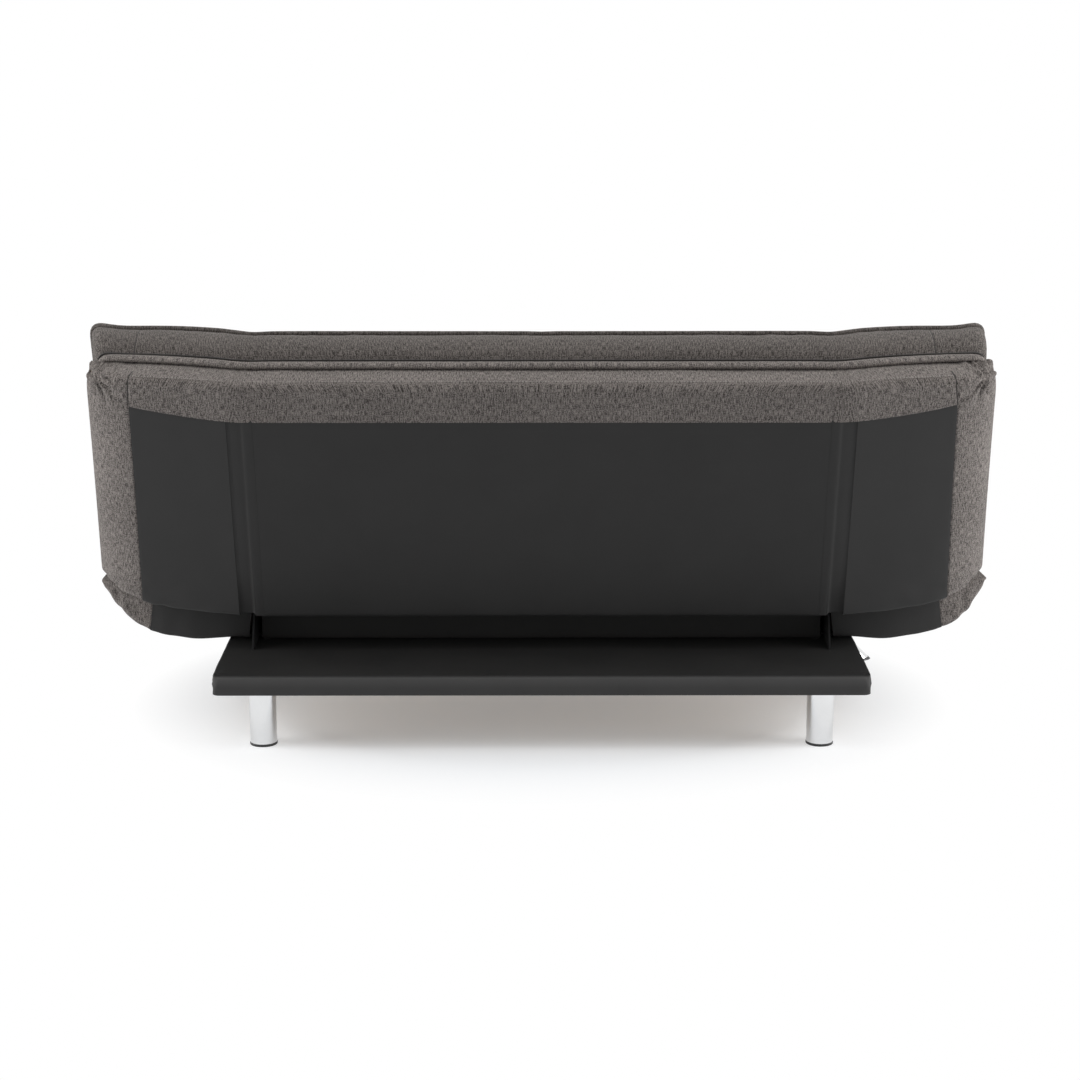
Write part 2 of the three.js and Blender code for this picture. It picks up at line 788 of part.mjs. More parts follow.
// A round bar along a leg's axis, leaning outward, cut level at both ends.
function legBar(radius, lean, from, to) {
  const reach = 2 * (Math.max(Math.abs(from), Math.abs(to)) / Math.cos(radians(lean)) + 2 * radius);
  const geometry = new THREE.CylinderGeometry(radius, radius, 2 * reach, legSides);
  geometry.rotateX(Math.PI / 2);
  geometry.rotateY(-radians(lean));
  const level = block([-reach, -reach, from], [reach, reach, to]);
  return solidOf(geometry).intersect(level);
}

const plateTop = railBottom - fit;
const tubeTop = plateTop - legPlateThickness;

// Drawn with the axis through the origin at the top of the tube.
function legTube(lean) {
  const bottom = glideHeight + fit - tubeTop;
  const tube = legBar(legRadius, lean, bottom, 0).subtract(legBar(legRadius - legWall, lean, bottom - overrun, -legWall));
  const half = legRadius + legPlateMargin;
  return tube.add(block([-half, -half, -legWall / 2], [half, half, legPlateThickness]));
}

function legGlide(lean) {
  const floor = -tubeTop;
  const foot = legBar(legRadius, lean, floor, floor + glideHeight);
  const plug = legBar(legRadius - legWall - fit, lean, floor + glideHeight / 2, floor + glideHeight + glidePlug);
  return foot.add(plug);
}

function legs() {
  const group = new THREE.Group();
  const rows = [
    ['rear', 0, platformHalf - rearLegInset, platformRearReach - legSetback, 0],
    ['front', frontLegLean, platformHalf - frontLegInset, -platformFrontReach + legSetback, frontLeftLegDraw],
  ];
  rows.forEach(([row, lean, spread, along, leftDraw]) => {
    sideNames.forEach(([side, sign]) => {
      const draw = side === 'left' ? leftDraw : 0;
      const corner = new THREE.Group();
      corner.position.set(sign * (spread - draw), along, tubeTop);
      corner.add(mesh(`${row}_${side}_leg`, placed(legTube(lean), sign, 1), chrome));
      corner.add(mesh(`${row}_${side}_glide`, placed(legGlide(lean), sign, 1), plastic));
      group.add(corner);
    });
  });
  return group;
}

function mechanismBase() {
  const group = new THREE.Group();
  group.position.z = pivotZ;
  sideNames.forEach(([side, sign]) => {
    group.add(mesh(`${side}_base_bracket`, placed(baseBracket(), sign, 1), steel));
    group.add(mesh(`${side}_pivot_bolt`, placed(pivotBolt(), sign, 1), steel));
  });
  return group;
}

// Assembly

const sofaBed = new THREE.Group();
sofaBed.position.y = (seatLength + padOverhang + padSpread - platformRearReach) / 2;
sofaBed.add(platform());
sofaBed.add(legs());
sofaBed.add(mechanismBase());
sofaBed.add(section('seat', -1, seatLength, seatWingAngle));
const back = section('back', 1, backLength, backWingAngle);
back.rotation.x = radians(sofaAngle);
sofaBed.add(back);

export default sofaBed;
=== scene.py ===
"""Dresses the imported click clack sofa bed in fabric, lining, chrome and timber.

A section, the seat or the back, is laid out flat: across from its middle, along from the
junction to the free edge and up from the top of its box. Pieces are shaped in those three
sizes, in metres, and a Section then lays them where they are at rest: it folds what lies past
a wing's hinge line and tips the back up.
"""

from __future__ import annotations

import json
import logging
import math
from contextlib import contextmanager
from dataclasses import dataclass, field
from enum import Enum
from typing import Callable, Iterator

import bmesh
import bpy
import numpy as np
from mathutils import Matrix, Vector, noise

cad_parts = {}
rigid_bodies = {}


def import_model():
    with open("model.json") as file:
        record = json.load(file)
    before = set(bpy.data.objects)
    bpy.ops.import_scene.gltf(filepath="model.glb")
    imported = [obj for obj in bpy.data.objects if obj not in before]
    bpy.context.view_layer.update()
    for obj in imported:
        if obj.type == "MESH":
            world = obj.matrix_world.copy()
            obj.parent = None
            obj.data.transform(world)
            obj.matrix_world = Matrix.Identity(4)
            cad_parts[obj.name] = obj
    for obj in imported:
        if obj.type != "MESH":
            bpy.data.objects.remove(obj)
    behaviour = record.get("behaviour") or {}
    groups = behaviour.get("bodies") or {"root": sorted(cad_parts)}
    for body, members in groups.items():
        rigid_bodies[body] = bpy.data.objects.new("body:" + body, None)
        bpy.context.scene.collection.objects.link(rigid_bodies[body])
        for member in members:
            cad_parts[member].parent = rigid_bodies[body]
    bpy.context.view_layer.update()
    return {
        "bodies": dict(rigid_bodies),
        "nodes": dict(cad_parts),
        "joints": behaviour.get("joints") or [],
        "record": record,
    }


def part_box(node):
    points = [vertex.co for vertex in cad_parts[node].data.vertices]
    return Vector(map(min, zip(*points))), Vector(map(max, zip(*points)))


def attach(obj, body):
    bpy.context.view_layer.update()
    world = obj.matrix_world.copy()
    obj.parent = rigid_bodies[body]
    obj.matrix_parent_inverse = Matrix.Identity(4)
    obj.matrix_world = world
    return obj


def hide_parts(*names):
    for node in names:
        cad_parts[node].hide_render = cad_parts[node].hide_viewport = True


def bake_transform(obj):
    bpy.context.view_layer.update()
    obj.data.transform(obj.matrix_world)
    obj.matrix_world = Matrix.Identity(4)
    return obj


log = logging.getLogger("sofa_bed")

MM = 0.001

Colour = tuple[float, float, float]
Place = tuple[float, float, float]
Piece = bpy.types.Object
Material = bpy.types.Material
Socket = bpy.types.NodeSocket


class Side(Enum):
    """The side of the sofa bed that a piece is on, with the sign of its x."""

    LEFT = 1
    RIGHT = -1

    @property
    def label(self) -> str:
        """The side's word in piece names."""
        return self.name.lower()


# Shader building


class Value:
    """A shader output that takes part in plain arithmetic."""

    def __init__(self, shader: "Shader", socket: Socket) -> None:
        """Wraps an output socket.

        Args:
            shader: The shader that the socket belongs to.
            socket: The output socket.
        """
        self.shader = shader
        self.socket = socket

    def _math(self, operation: str, first: object, second: object) -> "Value":
        """Adds a Math node and returns its output."""
        node = self.shader.node("ShaderNodeMath", {"operation": operation}, {0: first, 1: second})
        return Value(self.shader, node.outputs[0])

    def __add__(self, other: object) -> "Value":
        """self + other."""
        return self._math("ADD", self, other)

    __radd__ = __add__

    def __sub__(self, other: object) -> "Value":
        """self - other."""
        return self._math("SUBTRACT", self, other)

    def __rsub__(self, other: object) -> "Value":
        """other - self."""
        return self._math("SUBTRACT", other, self)

    def __mul__(self, other: object) -> "Value":
        """self * other."""
        return self._math("MULTIPLY", self, other)

    __rmul__ = __mul__

    def sine(self) -> "Value":
        """The sine of the value."""
        return self._math("SINE", self, 0.0)

    def swing(self, size: float) -> "Value":
        """How far a noise value is from its middle, times a size."""
        return (self - 0.5) * size

    def clamped(self) -> "Value":
        """The value kept between 0 and 1."""
        node = self.shader.node("ShaderNodeClamp", {}, {"Value": self, "Min": 0.0, "Max": 1.0})
        return Value(self.shader, node.outputs[0])


def dimmed(colour: Colour, factor: float) -> Colour:
    """A colour with each channel times a factor."""
    return tuple(channel * factor for channel in colour)


class Shader:
    """A material with one Principled surface and helpers that add nodes to it."""

    def __init__(self, name: str) -> None:
        """Starts an empty material.

        Args:
            name: The material's name.
        """
        self.material = bpy.data.materials.new(name)
        self.material.use_nodes = True
        self.tree = self.material.node_tree
        self.tree.nodes.clear()
        self.output = self.tree.nodes.new("ShaderNodeOutputMaterial")
        self.surface = self.tree.nodes.new("ShaderNodeBsdfPrincipled")
        self.tree.links.new(self.surface.outputs[0], self.output.inputs["Surface"])

    def node(self, kind: str, settings: dict, inputs: dict) -> bpy.types.Node:
        """Adds a node.

        Args:
            kind: The node's type.
            settings: Its own settings, or under "stops" a ramp's (place, colour) pairs.
            inputs: Values or links for its sockets, by name or place.

        Returns:
            The node.
        """
        node = self.tree.nodes.new(kind)
        for key, value in settings.items():
            if key == "stops":
                ramp = node.color_ramp
                while len(ramp.elements) < len(value):
                    ramp.elements.new(0.5)
                for element, (place, colour) in zip(ramp.elements, value):
                    element.position = place
                    element.color = (*colour, 1.0)
            else:
                setattr(node, key, value)
        for key, value in inputs.items():
            self.feed(node.inputs[key], value)
        return node

    def feed(self, socket: Socket, value: object) -> None:
        """Links or sets an input socket.

        Args:
            socket: The input.
            value: What is linked to it, or its constant.
        """
        if isinstance(value, Value):
            self.tree.links.new(value.socket, socket)
        elif isinstance(value, Socket):
            self.tree.links.new(value, socket)
        else:
            socket.default_value = value

    def coordinates(self, source: str, scale: Place) -> Socket:
        """The surface's coordinates, scaled.

        Args:
            source: "UV" for the piece's own map, or "Object".
            scale: How many pattern units lie in a metre, on each axis.

        Returns:
            The vector output.
        """
        place = self.node("ShaderNodeTexCoord", {}, {}).outputs[source]
        return self.node("ShaderNodeMapping", {}, {"Vector": place, "Scale": scale}).outputs[0]

    def noise(self, vector: Socket, scale: float = 1.0, detail: float = 2.0) -> Value:
        """A noise value from 0 to 1, mostly near 0.5."""
        inputs = {"Vector": vector, "Scale": scale, "Detail": detail}
        return Value(self, self.node("ShaderNodeTexNoise", {}, inputs).outputs["Fac"])

    def blend(self, share: object, first: object, second: object) -> Socket:
        """A colour between two.

        Args:
            share: How much of the second it has, from 0 to 1.
            first: A colour, or an output.
            second: Another.

        Returns:
            The colour's output.
        """
        first, second = ((*c, 1.0) if isinstance(c, tuple) else c for c in (first, second))
        inputs = {0: share, 6: first, 7: second}
        return self.node("ShaderNodeMix", {"data_type": "RGBA"}, inputs).outputs[2]

    def bump(self, height: Value, distance: float, strength: float = 1.0) -> None:
        """Raises the surface.

        Args:
            height: How high it is at each point.
            distance: How far a height of 1 stands out, in metres.
            strength: How much of that counts.
        """
        inputs = {"Height": height, "Distance": distance, "Strength": strength}
        node = self.node("ShaderNodeBump", {}, inputs)
        self.feed(self.surface.inputs["Normal"], node.outputs[0])

    def surface_values(self, **values: object) -> None:
        """Sets or links the surface's sockets, named with underscores for spaces."""
        for name, value in values.items():
            socket = "Specular IOR Level" if name == "specular" else name.replace("_", " ").title()
            self.feed(self.surface.inputs[socket], value)


@dataclass(frozen=True)
class MelangeFabric:
    """Flat-woven upholstery fabric in yarns of mixed greys and browns."""

    name: str = "melange_fabric"
    dark: Colour = (0.052, 0.0455, 0.042)
    light: Colour = (0.31, 0.278, 0.258)
    thread: float = 1.9 * MM
    streak_length: float = 13 * MM
    streak_width: float = 2.0 * MM
    fleck: float = 2.1 * MM
    weave_depth: float = 0.35 * MM
    warp_contrast: float = 2.2
    weft_contrast: float = 0.8
    fleck_contrast: float = 3.0
    cloud_contrast: float = 0.3
    cloud_scale: float = 0.016

    def make(self) -> Material:
        """Builds the material on the piece's own map, which is in metres."""
        shader = Shader(self.name)
        upright = shader.coordinates("UV", (1 / self.streak_width, 1 / self.streak_length, 1))
        level = shader.coordinates("UV", (1 / self.streak_length, 1 / self.streak_width, 1))
        even = shader.coordinates("UV", (1 / self.fleck, 1 / self.fleck, 1))
        warp = shader.noise(upright, detail=1.0)
        weft = shader.noise(level, detail=1.0)
        fleck = shader.noise(even, detail=3.0)
        cloud = shader.noise(even, scale=self.cloud_scale)
        share = 0.5 + warp.swing(self.warp_contrast) + weft.swing(self.weft_contrast)
        share = share + fleck.swing(self.fleck_contrast) + cloud.swing(self.cloud_contrast)
        colour = shader.blend(share.clamped(), self.dark, self.light)
        turns = 2 * math.pi / self.thread
        place = shader.coordinates("UV", (turns, turns, 1))
        parts = shader.node("ShaderNodeSeparateXYZ", {}, {0: place})
        weave = Value(shader, parts.outputs[0]).sine() * Value(shader, parts.outputs[1]).sine()
        shader.bump(weave * 0.5 + fleck * 0.9 + warp * 0.7, self.weave_depth)
        shader.surface_values(
            base_color=colour, roughness=0.95, sheen_weight=0.06, sheen_roughness=0.5, specular=0.1
        )
        return shader.material


@dataclass(frozen=True)
class NonWovenCloth:
    """Black bonded lining cloth with a faint dull sheen.

    Round the platform the colour carries painted light: the rim is painted paler up to a height, as a
    painted highlight, and the top is painted darker, as painted shade under the sofa.
    """

    name: str = "lining_cloth"
    colour: Colour = (0.038, 0.0373, 0.0367)
    pale: Colour = (0.0515, 0.0505, 0.0496)
    dimple: float = 1.6 * MM
    relief: float = 0.25 * MM
    cloud_scale: float = 0.012
    rim_height: float | None = None
    # Where and how strongly the rim is painted paler, as a painted highlight, and the top darker, as
    # painted shade.
    rim_band: float = 22 * MM
    rim_gain: float = 46.0
    rim_foot: float = 1.42
    rim_head: float = 2.15
    top_shade: float = 0.55
    top_gain: float = 250.0

    def make(self) -> Material:
        """Builds the material on the piece's own map."""
        shader = Shader(self.name)
        fine = shader.coordinates("UV", (1 / self.dimple, 1 / self.dimple, 1))
        fibre = shader.noise(fine, detail=3.0)
        cloud = shader.noise(fine, scale=self.cloud_scale, detail=3.0)
        share = (0.35 + fibre.swing(0.8) + cloud.swing(0.9)).clamped()
        tones: list[object] = [self.colour, self.pale]
        # Painted light on the platform: a painted highlight makes the rim paler, and painted shade
        # makes the top darker.
        if self.rim_height is not None:
            place = shader.coordinates("Object", (1, 1, 1))
            height = Value(shader, shader.node("ShaderNodeSeparateXYZ", {}, {0: place}).outputs[2])
            top_shade_share = ((height - self.rim_height) * self.top_gain).clamped()
            rim_highlight_share = ((height - (self.rim_height - self.rim_band)) * self.rim_gain).clamped()
            for number, tone in enumerate((self.colour, self.pale)):
                rim = shader.blend(rim_highlight_share, dimmed(tone, self.rim_foot), dimmed(tone, self.rim_head))
                tones[number] = shader.blend(top_shade_share, rim, dimmed(tone, self.top_shade))
        shader.surface_values(
            base_color=shader.blend(share, *tones),
            roughness=(0.62 + cloud.swing(0.3)).clamped(),
            specular=0.12,
        )
        shader.bump(fibre + cloud * 3.0, self.relief)
        return shader.material


@dataclass(frozen=True)
class Metal:
    """Polished metal plate."""

    name: str
    colour: Colour
    roughness: float
    mottle: float
    smear: float = 40.0
    dulled: float = 0.93

    def make(self) -> Material:
        """Builds the material on object coordinates."""
        shader = Shader(self.name)
        smear = shader.noise(shader.coordinates("Object", (self.smear,) * 3), detail=4.0)
        shader.surface_values(
            base_color=shader.blend(smear, self.colour, dimmed(self.colour, self.dulled)),
            metallic=1.0,
            roughness=(self.roughness + smear.swing(self.mottle)).clamped(),
        )
        return shader.material


@dataclass(frozen=True)
class DarkCoat:
    """A dark skin with a fine grain: powder coat on steel, or moulded plastic."""

    name: str
    colour: Colour
    grain: float
    roughness: float
    mottle: float
    relief: float
    specular: float = 0.5

    def make(self) -> Material:
        """Builds the material on object coordinates."""
        shader = Shader(self.name)
        grain = shader.noise(shader.coordinates("Object", (self.grain,) * 3))
        shader.surface_values(
            base_color=(*self.colour, 1.0),
            roughness=(self.roughness + grain.swing(self.mottle)).clamped(),
            specular=self.specular,
        )
        shader.bump(grain, self.relief)
        return shader.material


@dataclass(frozen=True)
class Timber:
    """Pale softwood or plywood with its grain along one axis."""

    name: str = "timber"
    grain_along: Place = (3.0, 60.0, 60.0)
    dark: Colour = (0.36, 0.23, 0.12)
    light: Colour = (0.62, 0.46, 0.29)
    relief: float = 0.3 * MM

    def make(self) -> Material:
        """Builds the material on object coordinates."""
        shader = Shader(self.name)
        place = shader.coordinates("Object", self.grain_along)
        grain = shader.noise(place, scale=2.0, detail=5.0)
        rings = shader.noise(place, scale=0.4)
        share = (0.5 + grain.swing(1.8) + rings.swing(1.6)).clamped()
        shader.surface_values(base_color=shader.blend(share, self.dark, self.light), roughness=0.7)
        shader.bump(grain, self.relief)
        return shader.material


@dataclass(frozen=True)
class SewingThread:
    """The thread of the topstitching."""

    name: str = "sewing_thread"
    colour: Colour = (0.42, 0.385, 0.36)
    grain: float = 700.0
    shaded: float = 0.6
    relief: float = 0.1 * MM

    def make(self) -> Material:
        """Builds the material on object coordinates."""
        shader = Shader(self.name)
        ply = shader.noise(shader.coordinates("Object", (self.grain,) * 3))
        colour = shader.blend(ply, self.colour, dimmed(self.colour, self.shaded))
        shader.surface_values(base_color=colour, roughness=0.7)
        shader.bump(ply, self.relief)
        return shader.material


def made(finish: type, *values: object, **options: object) -> Material:
    """A dataclass field that holds a finish's material, made when the owner is."""
    return field(default_factory=lambda: finish(*values, **options).make())


@dataclass
class Finishes:
    """The materials of the sofa bed, each made once."""

    fabric: Material = made(MelangeFabric)
    # A darker copy of the fabric, as painted shade on the pads and their piping.
    pad_fabric: Material = made(
        MelangeFabric, "pad_fabric", dark=(0.0345, 0.0302, 0.0278), light=(0.207, 0.185, 0.171)
    )
    lining: Material = made(NonWovenCloth)
    chrome: Material = made(Metal, "chrome", (0.79, 0.795, 0.8), roughness=0.05, mottle=0.03)
    steel: Material = made(
        DarkCoat,
        "black_powder_coat",
        (0.012, 0.012, 0.0122),
        grain=420.0,
        roughness=0.75,
        mottle=0.2,
        relief=0.08 * MM,
        specular=0.2,
    )
    timber: Material = made(Timber)
    cross_timber: Material = made(Timber, "cross_timber", grain_along=(60.0, 3.0, 60.0))
    plastic: Material = made(
        DarkCoat,
        "glide_plastic",
        (0.02, 0.02, 0.021),
        grain=900.0,
        roughness=0.42,
        mottle=0.3,
        relief=0.1 * MM,
    )
    thread: Material = made(SewingThread)
    # A near-black thread for the dark cords laid in the seams, as painted shade in the sunken seams.
    seam: Material = made(SewingThread, "seam_thread", (0.03, 0.026, 0.024))
    # The platform's cloth, with a painted highlight on its rim and painted shade on its top.
    platform: Material = made(NonWovenCloth, "platform_cloth", rim_height=0.1545)


# Working in Blender


def deselect() -> None:
    """Leaves object mode with nothing selected."""
    if bpy.context.object and bpy.context.object.mode != "OBJECT":
        bpy.ops.object.mode_set(mode="OBJECT")
    bpy.ops.object.select_all(action="DESELECT")


def activate(piece: Piece) -> None:
    """Selects one piece alone and makes it the active one."""
    deselect()
    piece.select_set(True)
    bpy.context.view_layer.objects.active = piece


def settle(piece: Piece) -> None:
    """Applies the piece's place, turn and scale to its mesh."""
    activate(piece)
    bpy.ops.object.transform_apply(location=True, rotation=True, scale=True)


def apply_modifier(piece: Piece, kind: str, **settings: object) -> None:
    """Adds a modifier, sets it and applies it.

    Args:
        piece: The piece to change.
        kind: The modifier's type.
        **settings: The modifier's settings.
    """
    activate(piece)
    modifier = piece.modifiers.new(kind.title(), kind)
    for key, value in settings.items():
        setattr(modifier, key, value)
    bpy.ops.object.modifier_apply(modifier=modifier.name)


def smooth(piece: Piece, angle: float = 35.0) -> None:
    """Shades smooth, except over edges sharper than an angle in degrees."""
    activate(piece)
    bpy.ops.object.shade_smooth_by_angle(angle=math.radians(angle), keep_sharp_edges=True)


@contextmanager
def editing(piece: Piece) -> Iterator[None]:
    """Keeps a piece in edit mode, with its mesh selected at first."""
    activate(piece)
    bpy.ops.object.mode_set(mode="EDIT")
    bpy.ops.mesh.select_all(action="SELECT")
    yield
    bpy.ops.object.mode_set(mode="OBJECT")


def pick(piece: Piece, kind: str, test: Callable[[object], bool]) -> None:
    """Selects the edges or the faces that pass a test, in edit mode.

    Args:
        piece: The piece that is being edited.
        kind: "EDGE" or "FACE".
        test: Says whether an edge or a face passes.
    """
    bpy.ops.mesh.select_mode(type=kind)
    bpy.ops.mesh.select_all(action="DESELECT")
    mesh = bmesh.from_edit_mesh(piece.data)
    for item in mesh.edges if kind == "EDGE" else mesh.faces:
        item.select = test(item)
    if kind == "EDGE":
        mesh.select_flush_mode()
    bmesh.update_edit_mesh(piece.data)


def climb(edge: bmesh.types.BMEdge) -> float:
    """How far one end of an edge lies above the other."""
    return abs(edge.verts[0].co.z - edge.verts[1].co.z)


def cut_away(place: Vector | tuple, outward: Vector | tuple) -> None:
    """Cuts off what lies past a plane, in edit mode, and closes the cut."""
    bpy.ops.mesh.select_all(action="SELECT")
    bpy.ops.mesh.bisect(plane_co=place, plane_no=outward, use_fill=True, clear_outer=True)


def dress(piece: Piece, material: Material) -> None:
    """Gives a new piece its material.

    Args:
        piece: The piece.
        material: What it is made of.
    """
    piece.data.materials.clear()
    piece.data.materials.append(material)


def mesh_piece(name: str, points: np.ndarray, faces: list, uv: np.ndarray | None = None) -> Piece:
    """Makes a mesh object.

    Args:
        name: The piece's name.
        points: Its vertices, one row each.
        faces: Vertex numbers of each face.
        uv: The map's coordinates in metres, one row for each corner of each face in turn.

    Returns:
        The object, linked to the scene.
    """
    mesh = bpy.data.meshes.new(name)
    mesh.from_pydata(points.tolist(), [], faces)
    if uv is not None:
        layer = mesh.uv_layers.new(name="cloth")
        layer.data.foreach_set("uv", np.asarray(uv, dtype=np.float32).ravel())
    mesh.update()
    piece = bpy.data.objects.new(name, mesh)
    bpy.context.scene.collection.objects.link(piece)
    return piece


def coordinates(piece: Piece) -> np.ndarray:
    """The piece's vertices, one row each."""
    values = np.empty(len(piece.data.vertices) * 3, dtype=np.float64)
    piece.data.vertices.foreach_get("co", values)
    return values.reshape(-1, 3)


def normals(piece: Piece) -> np.ndarray:
    """The piece's vertex normals, one row each."""
    values = np.empty(len(piece.data.vertices) * 3, dtype=np.float64)
    piece.data.vertex_normals.foreach_get("vector", values)
    return values.reshape(-1, 3)


def move_to(piece: Piece, points: np.ndarray) -> None:
    """Writes the piece's vertices."""
    piece.data.vertices.foreach_set("co", np.ascontiguousarray(points, dtype=np.float32).ravel())
    piece.data.update()


def rumple(points: np.ndarray, scale: float, seed: float) -> np.ndarray:
    """Smooth noise from about -1 to 1 at each point.

    Args:
        points: Where it is wanted.
        scale: The size of its lumps, in metres.
        seed: Which noise.

    Returns:
        A value for each point.
    """
    shift = Vector((seed * 17.3, seed * -9.1, seed * 5.7))
    return np.array([noise.noise(Vector(p) / scale + shift) for p in points])


def bell(*shares: float | np.ndarray) -> float | np.ndarray:
    """A bell's height: 1 where every share is 0, and near 0 where one is past 2."""
    return np.exp(-sum(share**2 for share in shares))


def smoothstep(share: np.ndarray) -> np.ndarray:
    """The smooth step from 0 to 1."""
    share = np.clip(share, 0, 1)
    return share * share * (3 - 2 * share)


# Where flat pieces go


@dataclass
class Section:
    """The seat or the back: how its flat layout lies in the sofa bed at rest."""

    name: str
    facing: int
    length: float
    tip: float
    wing_angle: float
    pivot: Vector
    hinge_line: float
    pivot_rise: float
    blend_half: float = 62 * MM
    corner_fall: float = 18 * MM
    wing_reach: float = 334 * MM
    fall_end: float = 1.1

    def wing(self, side: Side) -> str:
        """The name of a wing's body."""
        return f"{self.name}_{side.label}_wing"

    def fall(self, across: float) -> float:
        """How far the free edge falls back toward a wing's outer corner."""
        share = min(max((across - self.hinge_line) / self.wing_reach, 0.0), self.fall_end)
        return self.corner_fall * share**2

    def lay(self, flat: np.ndarray, side: Side, share: float | None) -> np.ndarray:
        """Moves points from the flat layout to where they are at rest.

        Args:
            flat: Rows of across, along and up.
            side: The side on which across is counted.
            share: 0 for the centre, 1 for a wing, None for a piece that bends between them.

        Returns:
            Rows of x, y and z.
        """
        across, along, up = flat.T
        beyond = across - self.hinge_line
        fold = math.radians(self.wing_angle)
        if share is None:
            share = self.bend_share(beyond, up, self.blend_half, self.blend_half)
        turn = fold * share
        x = self.hinge_line + beyond * np.cos(turn) - up * np.sin(turn)
        rise = beyond * np.sin(turn) + up * np.cos(turn) - self.pivot_rise
        tip = math.radians(self.tip)
        y = self.pivot.y + self.facing * along * math.cos(tip) - rise * math.sin(tip)
        z = self.pivot.z + along * math.sin(tip) + rise * math.cos(tip)
        return np.column_stack((side.value * x, y, z))

    def bend_share(self, beyond: np.ndarray, up: np.ndarray, before: float, after: float) -> np.ndarray:
        """How far each point turns with the wing, by where it comes to lie.

        Args:
            beyond: Flat distance past the hinge line.
            up: Height above the box.
            before: Where the bend starts, before the hinge line.
            after: Where it ends, past the hinge line.

        Returns:
            A share from 0 to 1 for each point.
        """
        fold = math.radians(self.wing_angle)
        low = np.full(beyond.shape, -2.0)
        high = np.full(beyond.shape, 2.0)
        # The range, in metres, is halved until what is left of it is far below a micron.
        for _ in range(40):
            middle = (low + high) / 2
            turn = fold * smoothstep((middle + before) / (before + after))
            over = middle > beyond * np.cos(turn) - up * np.sin(turn)
            high = np.where(over, middle, high)
            low = np.where(over, low, middle)
        return smoothstep(((low + high) / 2 + before) / (before + after))

    def place(self, piece: Piece, side: Side, share: float | None) -> None:
        """Lays a flat piece in place and keeps its faces turned outwards.

        Args:
            piece: The piece.
            side: The side on which across is counted.
            share: 0 for the centre, 1 for a wing, None for a piece that bends between them.
        """
        move_to(piece, self.lay(coordinates(piece), side, share))
        if side.value * self.facing < 0:
            piece.data.flip_normals()

    def ride_bent(self, piece: Piece, side: Side, before: float, after: float) -> None:
        """Bakes a piece's transform into its mesh; nothing ties it to its wing, so it does not bend as
        that folds.

        Args:
            piece: The piece.
            side: The wing's side.
            before: Where the bend starts, before the hinge line.
            after: Where it ends, past the hinge line.
        """
        start = (side.value * (self.hinge_line - before), 0, 0)
        end = (side.value * (self.hinge_line + after), 0, 0)
        self.wing(side)
        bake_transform(piece)


# Forms on a grid

UPRIGHT_SINE = 0.05
STITCH_FILL = 0.68
STITCH_SIDES = 6
STITCH_PROFILE = ((0.0, 0.5), (0.2, 1.0), (0.8, 1.0), (1.0, 0.5))

Level = tuple[float, float]
PlanPoint = Callable[[int, int, int], Place]


@dataclass
class GridBlock:
    """A closed form with a grid on top and underneath and a wall of levels around it."""

    columns: int
    rows: int
    levels: int
    point: PlanPoint

    def loop(self) -> list[tuple[int, int]]:
        """The grid places around the outside, turning left seen from above."""
        last_column, last_row = self.columns - 1, self.rows - 1
        path = [(i, 0) for i in range(last_column)]
        path += [(last_column, j) for j in range(last_row)]
        path += [(i, last_row) for i in range(last_column, 0, -1)]
        path += [(0, j) for j in range(last_row, 0, -1)]
        return path

    def build(self, name: str) -> tuple[Piece, dict[tuple[int, int, int], int]]:
        """Builds the mesh.

        Args:
            name: The piece's name.

        Returns:
            The object and the number of the vertex at each column, row and level.
        """
        loop = self.loop()
        numbers: dict[tuple[int, int, int], int] = {}
        points: list[Place] = []

        def number(i: int, j: int, k: int) -> int:
            """The vertex at a place, made when it is first asked for."""
            if (i, j, k) not in numbers:
                numbers[(i, j, k)] = len(points)
                points.append(self.point(i, j, k))
            return numbers[(i, j, k)]

        faces: list[list[int]] = []
        uv: list[tuple[float, float]] = []
        top = self.levels - 1
        for level, order in ((top, 1), (0, -1)):
            for i in range(self.columns - 1):
                for j in range(self.rows - 1):
                    ring = [(i, j), (i + 1, j), (i + 1, j + 1), (i, j + 1)][::order]
                    face = [number(a, b, level) for a, b in ring]
                    faces.append(face)
                    uv += [points[v][:2] for v in face]
        run = 0.0
        for k, (i, j) in enumerate(loop):
            i2, j2 = loop[(k + 1) % len(loop)]
            first = np.array(points[number(i, j, top)])
            second = np.array(points[number(i2, j2, top)])
            step = float(np.linalg.norm((second - first)[:2]))
            for level in range(top):
                face = [number(i, j, level), number(i2, j2, level)]
                face += [number(i2, j2, level + 1), number(i, j, level + 1)]
                faces.append(face)
                runs = (run, run + step, run + step, run)
                uv += [(a, points[v][2]) for a, v in zip(runs, face)]
            run += step
        return mesh_piece(name, np.array(points), faces, np.array(uv)), numbers


def sheet_on_grid(name: str, columns: int, rows: int, point: Callable) -> Piece:
    """An open sheet on a grid, whose map is its own size in metres.

    Args:
        name: The piece's name.
        columns: Points across.
        rows: Points along.
        point: Gives the place of the point at a column and row.

    Returns:
        The object.
    """
    points = np.array([[point(i, j) for j in range(rows)] for i in range(columns)])
    along = np.zeros((columns, rows))
    along[:, 1:] = np.cumsum(np.linalg.norm(np.diff(points, axis=1), axis=2), axis=1)
    across = np.zeros((columns, rows))
    across[1:, :] = np.cumsum(np.linalg.norm(np.diff(points, axis=0), axis=2), axis=0)
    faces, uv = [], []
    for i in range(columns - 1):
        for j in range(rows - 1):
            ring = [(i, j), (i + 1, j), (i + 1, j + 1), (i, j + 1)]
            faces.append([a * rows + b for a, b in ring])
            uv += [(across[a, b], along[a, b]) for a, b in ring]
    return mesh_piece(name, points.reshape(-1, 3), faces, np.array(uv))


